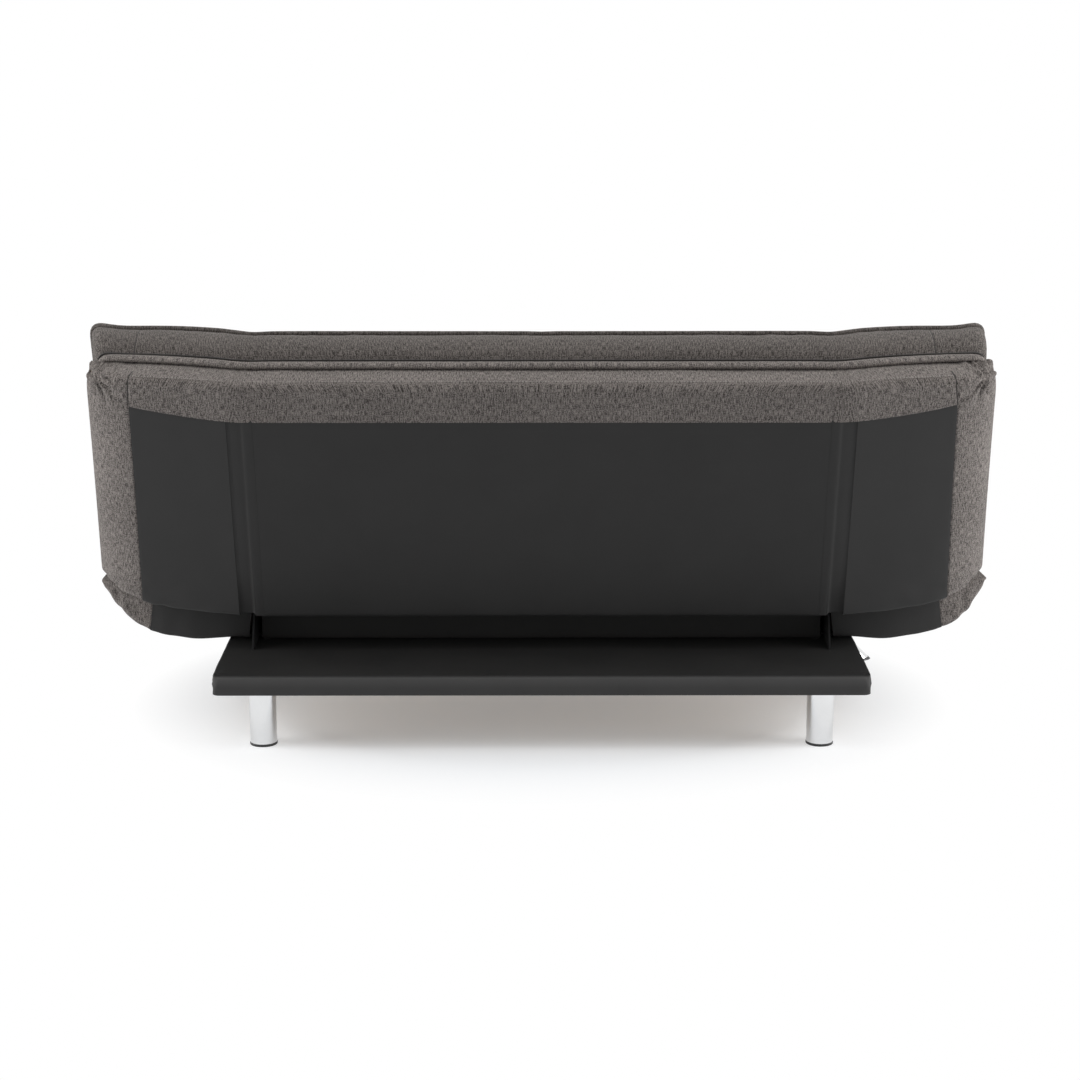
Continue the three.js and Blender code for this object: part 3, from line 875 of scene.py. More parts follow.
def resampled(path: np.ndarray, spacing: float) -> np.ndarray:
    """A path with its points an even distance apart.

    Args:
        path: The path, one point a row.
        spacing: About how far apart they are to be.

    Returns:
        The new points.
    """
    steps = np.linalg.norm(np.diff(path, axis=0), axis=1)
    run = np.concatenate(([0.0], np.cumsum(steps)))
    count = max(2, int(round(run[-1] / spacing)) + 1)
    at = np.linspace(0, run[-1], count)
    return np.column_stack([np.interp(at, run, path[:, k]) for k in range(3)])


def tube(
    name: str,
    path: np.ndarray,
    radius: float,
    sides: int = 12,
    squash: tuple[float, float] = (1.0, 1.0),
) -> Piece:
    """A round or oval cord of fabric along a path, with closed ends.

    Args:
        name: The piece's name.
        path: Its centre line.
        radius: Its radius.
        sides: How many sides it has.
        squash: How much of the radius it takes sideways and upward.

    Returns:
        The object.
    """
    heading = np.gradient(path, axis=0)
    heading /= np.linalg.norm(heading, axis=1)[:, None]
    up = np.array([0.0, 0.0, 1.0])
    sideways = np.cross(heading, up)
    upright = np.linalg.norm(sideways, axis=1) < UPRIGHT_SINE
    sideways[upright] = np.array([1.0, 0.0, 0.0])
    sideways /= np.linalg.norm(sideways, axis=1)[:, None]
    rise = np.cross(sideways, heading)
    turn = np.linspace(0, 2 * math.pi, sides, endpoint=False)
    over, aloft = squash[0] * np.cos(turn), squash[1] * np.sin(turn)
    rings = path[:, None, :] + radius * (
        over[None, :, None] * sideways[:, None, :] + aloft[None, :, None] * rise[:, None, :]
    )
    count = len(path)
    run = np.concatenate(([0.0], np.cumsum(np.linalg.norm(np.diff(path, axis=0), axis=1))))
    faces, uv = [], []
    around = 2 * math.pi * radius / sides
    for k in range(count - 1):
        for s in range(sides):
            t = (s + 1) % sides
            faces.append([k * sides + s, k * sides + t, (k + 1) * sides + t, (k + 1) * sides + s])
            uv += [(run[k], s * around), (run[k], (s + 1) * around)]
            uv += [(run[k + 1], (s + 1) * around), (run[k + 1], s * around)]
    for cap in (list(range(sides))[::-1], [(count - 1) * sides + s for s in range(sides)]):
        faces.append(cap)
        uv += [(0.0, 0.0)] * sides
    return mesh_piece(name, rings.reshape(-1, 3), faces, np.array(uv))


def stitches(name: str, path: np.ndarray, pitch: float, radius: float) -> Piece:
    """A row of short stitches along a path, all in one piece.

    Args:
        name: The piece's name.
        path: The line that is sewn.
        pitch: How far apart the stitches start.
        radius: The thread's radius.

    Returns:
        The object.
    """
    path = resampled(path, pitch)
    points, faces = [], []
    sides = STITCH_SIDES
    for first, second in zip(path[:-1], path[1:]):
        heading = (second - first) / np.linalg.norm(second - first)
        sideways = np.cross(heading, (0.0, 0.0, 1.0))
        if np.linalg.norm(sideways) < UPRIGHT_SINE:
            sideways = np.cross(heading, (1.0, 0.0, 0.0))
        sideways /= np.linalg.norm(sideways)
        rise = np.cross(sideways, heading)
        base = len(points)
        length = pitch * STITCH_FILL
        for share, size in STITCH_PROFILE:
            for s in range(sides):
                turn = 2 * math.pi * s / sides
                offset = radius * size * (math.cos(turn) * sideways + math.sin(turn) * rise)
                points.append(first + heading * length * share + offset)
        last = len(STITCH_PROFILE) - 1
        for ring in range(last):
            for s in range(sides):
                t = (s + 1) % sides
                a = base + ring * sides
                faces.append([a + s, a + t, a + sides + t, a + sides + s])
        faces.append([base + s for s in range(sides)][::-1])
        faces.append([base + last * sides + s for s in range(sides)])
    return mesh_piece(name, np.array(points), faces)


# Pads


@dataclass
class PadShape:
    """The shape of half a pad, laid flat, from the sewn channel in the middle to its outer end."""

    section: Section
    seed: float
    reach: float = 334 * MM
    side_overhang: float = -22 * MM
    side_spread: float = 20 * MM
    overhang: float = 8 * MM
    spread: float = 5 * MM
    height: float = 152 * MM
    crown: float = 21 * MM
    channel_start: float = 3 * MM
    crease_gap: float = 3.5 * MM
    fold_angle: float = 74.0
    release_angle: float = 4.0
    wing_top_angle: float = 20.0
    wing_start: float = 20 * MM
    wing_ramp: float = 50 * MM
    fall_eased: float = 0.35
    junction_drop: float = 34 * MM
    junction_reach: float = 150 * MM
    groove_drop: float = 4 * MM
    groove_reach: float = 60 * MM
    middle_drop: float = 0.6
    end_drop: float = 26 * MM
    end_reach: float = 300 * MM
    ear: float = 24 * MM
    ear_out: float = 50 * MM
    ear_far: float = 75 * MM
    corner: float = 17 * MM
    outset_share: float = 0.3
    near_inset_most: float = 2 * MM
    mechanism_reach: float = 50 * MM
    channel_depth: float = 20 * MM
    channel_half: float = 30 * MM
    hinge_depth: float = 15 * MM
    hinge_half: float = 34 * MM
    cell: float = 14.5 * MM
    roll_radius: float = 8.8 * MM
    welt_radius: float = 5.6 * MM
    border_seams: dict[Side, float] = field(
        default_factory=lambda: {Side.LEFT: 844 * MM, Side.RIGHT: 816 * MM}
    )
    outer_top: float = field(init=False)
    lean: float = field(init=False)
    columns: int = field(init=False)
    rows: int = field(init=False)
    slope: float = field(init=False)

    def __post_init__(self) -> None:
        """Works out the grid and the slopes of its sides."""
        self.outer_top = self.section.hinge_line + self.reach + self.side_overhang
        self.lean = self.side_spread / self.height + math.tan(math.radians(self.section.wing_angle))
        self.columns = int(round(self.outer(self.height) / self.cell)) + 1
        self.rows = int(round(self.section.length / self.cell)) + 1
        self.slope = math.tan(math.radians((self.fold_angle + self.release_angle) / 2))

    def outer(self, height: float) -> float:
        """Where the outer end lies at a height."""
        return self.outer_top + self.lean * height

    def far(self, height: float, across: float = 0.0) -> float:
        """Where the free edge lies at a height."""
        fall = self.section.fall(across) * (1 - self.fall_eased * height / self.height)
        return self.section.length + self.overhang + self.spread * height / self.height - fall

    def near(self, across: float, height: float) -> float:
        """Where the junction side lies, clear of the other section at any fold.

        Args:
            across: Distance from the sofa bed's middle.
            height: Height above the box.

        Returns:
            The distance from the junction.
        """
        past = across - self.section.hinge_line
        beyond = max(past, 0.0)
        steepest = min(math.atan2(beyond, max(height, 1e-6)), math.radians(self.wing_top_angle))
        rise = beyond * math.sin(steepest) + height * math.cos(steepest) - self.section.pivot_rise
        wing = smoothstep(np.array((past + self.wing_start) / self.wing_ramp)).item()
        least = self.channel_start + (self.mechanism_reach - self.channel_start) * wing
        return max(self.slope * rise + self.crease_gap, least)

    def edge_height(self, across: float, along: float) -> float:
        """The height of the piped edge.

        Args:
            across: Distance from the sofa bed's middle.
            along: Distance from the junction.

        Returns:
            The height above the box, lower at the junction, the creases and the outer end.
        """
        start = self.near(across, self.height - self.junction_drop)
        out_gap = self.outer(self.height) - across
        far_gap = self.far(self.height, across) - along
        drops = (
            (self.junction_drop, along - start, self.junction_reach),
            (self.groove_drop, abs(across - self.section.hinge_line), self.groove_reach),
            (self.end_drop, out_gap, self.end_reach),
            (self.groove_drop * self.middle_drop, across, self.groove_reach),
        )
        top = self.height
        for drop, gap, reach in drops:
            top -= drop * max(0.0, 1 - gap / reach) ** 2
        return top + self.ear * bell(out_gap / self.ear_out, far_gap / self.ear_far)

    def crowning(self, across: float, along_share: float) -> float:
        """How far the top stands above its edge, with the sewn channel and the hinge's crease.

        Args:
            across: Distance from the sofa bed's middle.
            along_share: 0 at the junction side, 1 at the free edge.

        Returns:
            The height over the edge.
        """
        hinge, end = self.section.hinge_line, self.outer(self.height)
        if across < hinge:
            lift = 1 - abs(2 * across / hinge - 1) ** 4
        else:
            lift = 1 - abs(2 * (across - hinge) / (end - hinge) - 1) ** 3
        lengthwise = 1 - abs(2 * along_share - 1) ** 3.4
        middle = self.crown * (0.25 + 0.75 * lift) * lengthwise
        channel = self.channel_depth * bell(across / self.channel_half)
        crease = self.hinge_depth * bell((across - hinge) / self.hinge_half)
        return middle - (channel + crease) * lengthwise**0.7

    @staticmethod
    def rounded(out_gap: float, far_gap: float, corner: float) -> tuple[float, float]:
        """Draws the free outer corner round.

        Args:
            out_gap: Distance from the outer edge, with a square corner.
            far_gap: Distance from the free edge.
            corner: The radius that it gets.

        Returns:
            Both distances with the round corner.
        """
        if out_gap >= corner or far_gap >= corner:
            return out_gap, far_gap
        least = min(out_gap, far_gap)
        radius = corner - least
        if radius <= 1e-9:
            return out_gap, far_gap
        slide = max(out_gap, far_gap) - least
        turn = (1 - slide / radius) * math.pi / 4
        close = corner - radius * math.cos(turn)
        wide = corner - radius * math.sin(turn)
        return (close, wide) if out_gap <= far_gap else (wide, close)

    def plan(
        self, u: float, v: float, inset: float, height: float, near_inset: float = 0.0
    ) -> tuple[float, float]:
        """A point of the pad's plan at a height, with its free sides moved in.

        Args:
            u: 0 at the sewn channel, 1 at the outer end.
            v: 0 at the junction side, 1 at the free edge.
            inset: How far the outer end and the free edge move in.
            height: Height above the box.
            near_inset: How far the junction side moves in at least.

        Returns:
            Across and along.
        """
        out = self.outer(height)
        guess = out * u
        far = self.far(height, guess)
        inward = max(inset, 0.0)
        corner = self.corner + inward
        near = self.near(guess, height) + max(near_inset, min(inward, self.near_inset_most))
        gap_out, gap_far = self.rounded(out * (1 - u), (far - near) * (1 - v), corner)
        across = out - gap_out
        along = far - gap_far
        side_share = self.outset_share if inset < 0 else 1.0
        if gap_out < corner and gap_far < corner:
            reach_out, reach_far = corner - gap_out, corner - gap_far
            size = math.hypot(reach_out, reach_far) or 1.0
            pull = inset * min(size / corner, 1.0)
            return across - pull * reach_out / size * side_share, along - pull * reach_far / size
        share_out = max(0.0, 1 - gap_out / corner)
        share_far = max(0.0, 1 - gap_far / corner)
        return across - inset * share_out * side_share, along - inset * share_far


# How far each ring of the border lies in, and its share of the edge's height
BORDER_LEVELS: tuple[Level, ...] = (
    (22 * MM, 0.003),
    (22 * MM, 0.03),
    (22 * MM, 0.07),
    (22 * MM, 0.125),
    (13 * MM, 0.165),
    (5 * MM, 0.215),
    (-4 * MM, 0.27),
    (-9.5 * MM, 0.34),
    (-13.5 * MM, 0.45),
    (-14.5 * MM, 0.57),
    (-12.5 * MM, 0.68),
    (-8.5 * MM, 0.785),
    (-2.5 * MM, 0.885),
    (4.0 * MM, 0.965),
)


# What the pad's cloth simulation is set to
STUFFING = {
    "quality": 4,
    "mass": 0.25,
    "tension_stiffness": 18,
    "compression_stiffness": 12,
    "shear_stiffness": 6,
    "bending_stiffness": 1.2,
    "shrink_min": -0.035,
    "use_pressure": True,
    "vertex_group_mass": "sewn",
}


@dataclass(frozen=True)
class Cord:
    """A cord sewn round the pad: its cloth and where it runs on the border."""

    label: str
    cloth: str
    inset: float
    share: float
    lift: float
    radius: float
    clearance: float = 1.0 * MM
    wobble: float = 0.35 * MM
    oval: tuple[float, float] = (1.0, 1.0)


@dataclass
class Pad:
    """Half a pillow-top pad: its stuffed body, the welt at its foot and the piping at its top."""

    shape: PadShape
    side: Side
    finishes: Finishes
    pressure: float = 3.0
    frames: int = 18
    most: float = 13 * MM
    roll_oval: tuple[float, float] = (0.68, 1.55)
    held_levels: int = 4
    border_hold: float = 0.8
    hinge_hold: float = 0.85
    hinge_hold_half: float = 12 * MM
    seam_margin: float = 30 * MM
    seam_top: float = 0.93
    seam_cuts: tuple[float, ...] = (-3.2 * MM, -1.3 * MM, 0.0, 1.3 * MM, 3.2 * MM)
    seam_sunk: float = 2.0 * MM
    seam_half: float = 1.4 * MM
    seam_radius: float = 1.3 * MM

    @property
    def base_name(self) -> str:
        """The start of this half's piece names."""
        return f"{self.shape.section.name}_{self.side.label}"

    def point(self, i: int, j: int, k: int) -> Place:
        """A vertex of the body."""
        shape = self.shape
        u = i / (shape.columns - 1)
        v = j / (shape.rows - 1)
        inset, share = BORDER_LEVELS[k]
        across, along = shape.plan(u, v, 0.0, shape.height)
        edge = shape.edge_height(across, along)
        height = edge * share
        across, along = shape.plan(u, v, inset, height)
        if i == 0:
            across = 0.0
        inside = 0 < i < shape.columns - 1 and 0 < j < shape.rows - 1
        if inside and k == len(BORDER_LEVELS) - 1:
            height += shape.crowning(across, v)
        return across, along, height

    def build(self) -> None:
        """Builds the half pad and lays it in place."""
        shape, section = self.shape, self.shape.section
        grid = GridBlock(shape.columns, shape.rows, len(BORDER_LEVELS), self.point)
        body, numbers = grid.build(f"{self.base_name}_pad_cover")
        top = len(BORDER_LEVELS) - 1
        rim = [numbers[(i, j, top)] for i, j in grid.loop()]
        self.inflate(body, numbers)
        self.crease_edges(body, set(rim))
        apply_modifier(body, "SUBSURF", levels=1, render_levels=1)
        self.sew_border(body)
        self.pucker(body)
        self.seam_cord(body)
        section.place(body, self.side, None)
        smooth(body, 50)
        # The pad's body wears the darker copy of the fabric, as painted shade.
        dress(body, self.finishes.pad_fabric)
        self.ride(body)
        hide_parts(f"{section.name}_pad", f"{section.wing(self.side)}_pad")
        self.cords()
        log.info("%s: %d faces", body.name, len(body.data.polygons))

    def ride(self, piece: Piece) -> None:
        """Bakes a piece of the pad's transform through the section; it does not bend with its wing."""
        half = self.shape.section.blend_half
        self.shape.section.ride_bent(piece, self.side, half, half)

    def crease_edges(self, body: Piece, rim: set[int]) -> None:
        """Keeps the seam under the piping and the cut in the middle sharp when it is subdivided.

        Args:
            body: The pad's body.
            rim: The vertices under the piping.
        """
        mesh = body.data
        attribute = mesh.attributes.new("crease_edge", "FLOAT", "EDGE")
        middle = {vertex.index for vertex in mesh.vertices if abs(vertex.co.x) < 0.01 * MM}
        sharp = [set(edge.vertices) <= rim or set(edge.vertices) <= middle for edge in mesh.edges]
        attribute.data.foreach_set("value", [float(value) for value in sharp])

    def inflate(self, body: Piece, numbers: dict[tuple[int, int, int], int]) -> None:
        """Swells the stuffing with a cloth simulation between the sewn lines.

        Args:
            body: The pad's body, flat.
            numbers: Its vertex at each column, row and level.
        """
        shape = self.shape
        top = len(BORDER_LEVELS) - 1
        flat = coordinates(body)
        weights = np.zeros(len(flat))
        for (i, j, k), number in numbers.items():
            edge = i in (0, shape.columns - 1) or j in (0, shape.rows - 1)
            if i == 0 or j == 0 or k < self.held_levels or (edge and k >= top - 1):
                weights[number] = 1.0
            elif k < top:
                weights[number] = self.border_hold
            else:
                aside = abs(flat[number][0] - shape.section.hinge_line)
                weights[number] = self.hinge_hold * bell(aside / self.hinge_hold_half)
        group = body.vertex_groups.new(name="sewn")
        for number in np.nonzero(weights > 0.01)[0]:
            group.add([int(number)], float(weights[number]), "REPLACE")
        activate(body)
        cloth = body.modifiers.new("Cloth", "CLOTH")
        for key, value in STUFFING.items():
            setattr(cloth.settings, key, value)
        cloth.settings.uniform_pressure_force = self.pressure
        cloth.settings.effector_weights.gravity = 0
        cloth.collision_settings.use_collision = False
        cloth.point_cache.frame_end = self.frames
        scene = bpy.context.scene
        for frame in range(1, self.frames + 1):
            scene.frame_set(frame)
        bpy.ops.object.modifier_apply(modifier=cloth.name)
        scene.frame_set(1)
        moved = coordinates(body) - flat
        size = np.linalg.norm(moved, axis=1)
        scale = np.where(size > self.most, self.most / np.maximum(size, 1e-9), 1.0)
        middle = smoothstep((flat[:, 0] - 10 * MM) / (70 * MM))
        moved *= (scale * (1 - weights) * middle)[:, None]
        move_to(body, flat + moved)
        body.vertex_groups.clear()
        most = np.linalg.norm(moved, axis=1).max() / MM
        log.info("%s: swelled by %.1f mm at most", body.name, most)

    def seam_aside(self, place: np.ndarray, up: np.ndarray) -> np.ndarray:
        """How far points lie outward of the border's upright seam, which leans with the end.

        Args:
            place: Their distance across.
            up: Their height.

        Returns:
            The distance, signed.
        """
        lean = math.tan(math.radians(self.shape.section.wing_angle))
        return place - self.shape.border_seams[self.side] - lean * up

    def border_start(self) -> float:
        """How far along the border at the free edge starts, by its seam."""
        section = self.shape.section
        return section.length - section.fall(self.shape.border_seams[self.side]) - self.seam_margin

    def sew_border(self, body: Piece) -> None:
        """Joins the border's two lengths of cloth in an upright seam along the free edge."""
        shape, rear = self.shape, self.border_start()
        lean = math.tan(math.radians(shape.section.wing_angle))

        def by_seam(face: bmesh.types.BMFace) -> bool:
            """Whether a face is on the border, near the seam."""
            middle = face.calc_center_median()
            near = abs(self.seam_aside(middle.x, middle.z)) < 20 * MM
            return near and middle.y > rear and middle.z < shape.height * self.seam_top

        with editing(body):
            for offset in self.seam_cuts:
                pick(body, "FACE", by_seam)
                place = (shape.border_seams[self.side] + offset, 0, 0)
                bpy.ops.mesh.bisect(plane_co=place, plane_no=(1, 0, -lean))
        points = coordinates(body)
        aside = self.seam_aside(points[:, 0], points[:, 2]) / self.seam_half
        on_border = (points[:, 1] > rear) & (points[:, 2] < shape.height * self.seam_top)
        points[:, 1] -= self.seam_sunk * bell(aside) * on_border
        move_to(body, points)

    def seam_cord(self, body: Piece) -> None:
        """Paints the shade in the border's upright seam with a dark cord of thread sunk into it."""
        points, height = coordinates(body), self.shape.height
        near = np.abs(self.seam_aside(points[:, 0], points[:, 2])) < 0.9 * MM
        level = (points[:, 2] > height * 0.13) & (points[:, 2] < height * 0.92)
        picked = points[near & level & (points[:, 1] > self.border_start())]
        picked = picked[np.argsort(picked[:, 2])]
        if len(picked) < 4:
            log.warning("%s: no border seam found", body.name)
            return
        name = f"{self.base_name}_border_seam"
        self.finish(tube(name, resampled(picked, 3 * MM), self.seam_radius, 8), self.finishes.seam)

    def finish(self, cord: Piece, material: Material) -> None:
        """Lays a cord in place and dresses it.

        Args:
            cord: The cord, flat.
            material: Its material.
        """
        self.shape.section.place(cord, self.side, None)
        smooth(cord, 60)
        dress(cord, material)
        self.ride(cord)

    def pucker(self, body: Piece) -> None:
        """Gathers the cloth a little along its seams and makes it uneven."""
        shape = self.shape
        flat = coordinates(body)
        direction = normals(body)
        across, along, up = flat.T
        seed = shape.seed + (0.5 if self.side is Side.RIGHT else 0.0)
        soft = rumple(flat, 0.16, seed) * 2.4 * MM + rumple(flat, 0.055, seed + 3) * 0.9 * MM
        wave = rumple(flat * np.array([1.0, 1.0, 0.25]), 0.021, seed + 7)
        fall = np.array([shape.section.fall(a) for a in across]) * 0.65
        out_gap = shape.outer(shape.height) - across
        edge_gap = np.minimum(shape.far(shape.height) - fall - along, out_gap)
        near_piping = np.exp(-np.maximum(edge_gap, 0) / 0.03) * smoothstep((up - 0.11) / 0.03)
        near_hinge = np.exp(-np.abs(across - shape.section.hinge_line) / 0.028)
        near_channel = np.exp(-across / 0.024)
        strength = 1.5 * near_piping + 1.8 * near_hinge + 1.6 * near_channel + 0.25
        near_start = np.array([shape.near(a, h) for a, h in zip(across, up)])
        free = smoothstep((along - near_start - 2 * MM) / (30 * MM))
        body_share = smoothstep((up - 4 * MM) / (20 * MM)) * free
        held = smoothstep(across / (25 * MM))
        border = (along > shape.section.length - 30 * MM) & (up < shape.height - 14 * MM)
        settle_share = np.where(border, 0.45 * held, 1.0)
        amount = (soft * held + wave * strength * MM) * body_share * settle_share
        cut = across < 0.5 * MM
        direction[cut, 0] = 0.0
        move_to(body, flat + direction * amount[:, None])

    def rim_path(self, inset: float, share: float, lift: float, near_inset: float) -> np.ndarray:
        """The line around the free sides, from the channel round to the channel.

        Args:
            inset: How far it lies in from the border.
            share: Its share of the edge's height.
            lift: How far it lies above that.
            near_inset: How far it stays from the junction side at least.

        Returns:
            Its points, flat.
        """
        shape = self.shape
        path = []
        last_column, last_row = shape.columns - 1, shape.rows - 1
        places = [(i, last_row) for i in range(last_column + 1)]
        places += [(last_column, j) for j in range(last_row - 1, -1, -1)]
        places += [(i, 0) for i in range(last_column - 1, -1, -1)]
        for i, j in places:
            u, v = i / last_column, j / last_row
            across, along = shape.plan(u, v, 0.0, shape.height)
            height = shape.edge_height(across, along) * share + lift
            across, along = shape.plan(u, v, inset, height, near_inset)
            path.append((across if i else 0.0, along, height))
        return np.array(path)

    def cords(self) -> None:
        """Adds the welt at the foot, a dark cord above it as painted shade in its seam, and the piping
        at the top.
        """
        shape = self.shape
        roll, welt = shape.roll_radius, shape.welt_radius
        cords = (
            Cord("foot_welt", "fabric", 3.2 * MM, 0.0, roll * 0.9, roll, 3 * MM, oval=self.roll_oval),
            # A dark cord as painted shade in the crease between the welt and the border.
            Cord("welt_seam", "seam", 3.2 * MM, 0.205, 0.0, 1.7 * MM),
            # The piping wears the darker copy of the fabric, as painted shade.
            Cord("piping", "pad_fabric", 1.6 * MM, 0.98, 0.6 * MM, welt, wobble=1.1 * MM),
        )
        for cord in cords:
            rim = self.rim_path(cord.inset, cord.share, cord.lift, cord.radius + cord.clearance)
            path = resampled(rim, 7 * MM)
            for _ in range(2):
                path[1:-1] = (path[:-2] + 2 * path[1:-1] + path[2:]) / 4
            wobble = rumple(path, 0.09, shape.seed + cord.radius * 900) * smoothstep(path[:, 0] / 0.06)
            path[:, 2] += wobble * cord.wobble
            piece = tube(f"{self.base_name}_{cord.label}", path, cord.radius, 14, cord.oval)
            self.finish(piece, getattr(self.finishes, cord.cloth))


# Boxes


@dataclass
class BoxShape:
    """The upholstered box under a pad, laid flat, with the curve under a wing's outer end."""

    section: Section
    depth: float = 76 * MM
    groove: float = 18 * MM
    reach: float = 334 * MM
    heel_reach: float = 128 * MM
    heel_rise: float = 102 * MM
    side_flat: float = 6 * MM
    corner_start: float = 110 * MM
    corner_draw: float = 44 * MM
    junction_gap: float = 3 * MM
    free_band: float = 82 * MM
    side_band_free: float = 121 * MM
    side_band_junction: float = 109 * MM
    side_widening: float = 15 * MM
    side_extra: float = 7 * MM
    belly: float = 20 * MM
    belly_start: float = 12 * MM
    belly_ramp: float = 130 * MM
    belly_end: float = 190 * MM
    belly_fade: float = 140 * MM
    fullness: float = 21 * MM
    flares: dict[Side, float] = field(
        default_factory=lambda: {Side.LEFT: 11 * MM, Side.RIGHT: 25 * MM}
    )
    flare_power: float = 1.6
    edge: float = 16 * MM
    round_share: float = 0.45
    sunk: float = 3.4 * MM
    seam_depth: float = 2.6 * MM
    junction_round: float = 10 * MM
    seam_rise: float = 13 * MM
    seam_rise_reach: float = 220 * MM
    heel_turn: float = field(init=False)
    heel_start: float = field(init=False)

    def __post_init__(self) -> None:
        """Works out where the heel starts."""
        rise = (self.depth - self.side_flat) / self.heel_rise
        self.heel_turn = math.acos(1 - rise)
        self.heel_start = self.reach - self.heel_reach * math.sin(self.heel_turn)

    def low(self, beyond: float, belly: float | None = None) -> float:
        """The height of the underside.

        Args:
            beyond: Distance past the hinge line.
            belly: How deep it hangs, where that isn't the usual belly.

        Returns:
            The height, below zero.
        """
        belly = self.belly if belly is None else belly
        share = min(max((beyond - self.heel_start) / self.heel_reach, 0.0), 0.999)
        swell = smoothstep(np.array((beyond - self.belly_start) / self.belly_ramp)).item()
        swell *= 1 - smoothstep(np.array((beyond - self.belly_end) / self.belly_fade)).item()
        return self.heel_rise * (1 - math.sqrt(1 - share**2)) - self.depth - belly * swell

    def rounding(self, low: float, radius: float) -> float:
        """An edge's radius, less where the box is thin."""
        return min(radius, -low * self.round_share)

    def flare(self, along: float, side: Side, share: float) -> float:
        """How far a wing's cover stands out past the frame, most by the junction.

        Args:
            along: Distance from the junction.
            side: The wing's side.
            share: 0 at the side seam, 1 at the outer end.

        Returns:
            The distance outward.
        """
        fullness = self.fullness if side is Side.RIGHT else 0.0
        out = self.flares[side] * share + fullness * math.sin(math.pi * share)
        return out * max(1 - along / self.section.length, 0.0) ** self.flare_power

    def near(self, beyond: float) -> float:
        """Where the junction side lies."""
        share = max((beyond - self.corner_start) / (self.reach - self.corner_start), 0.0)
        return self.junction_gap + self.corner_draw * share**2

    def side_seam(self, along: float, side: Side) -> float:
        """How far past the hinge line the lining's side seam runs.

        Args:
            along: Distance from the junction.
            side: The wing's side.

        Returns:
            The distance.
        """
        share = along / self.section.length
        wider = self.side_extra + self.side_widening * (1 - share) if side is Side.RIGHT else 0.0
        narrowing = (self.side_band_free - self.side_band_junction) * share
        return wider + self.reach - self.side_band_junction - narrowing


# What differs in the back's boxes
BACK_BOX = {
    "belly": 5 * MM,
    "side_extra": 2 * MM,
    "fullness": 0.0,
    "corner_draw": 34 * MM,
    "flares": {Side.LEFT: 11 * MM, Side.RIGHT: 16 * MM},
}


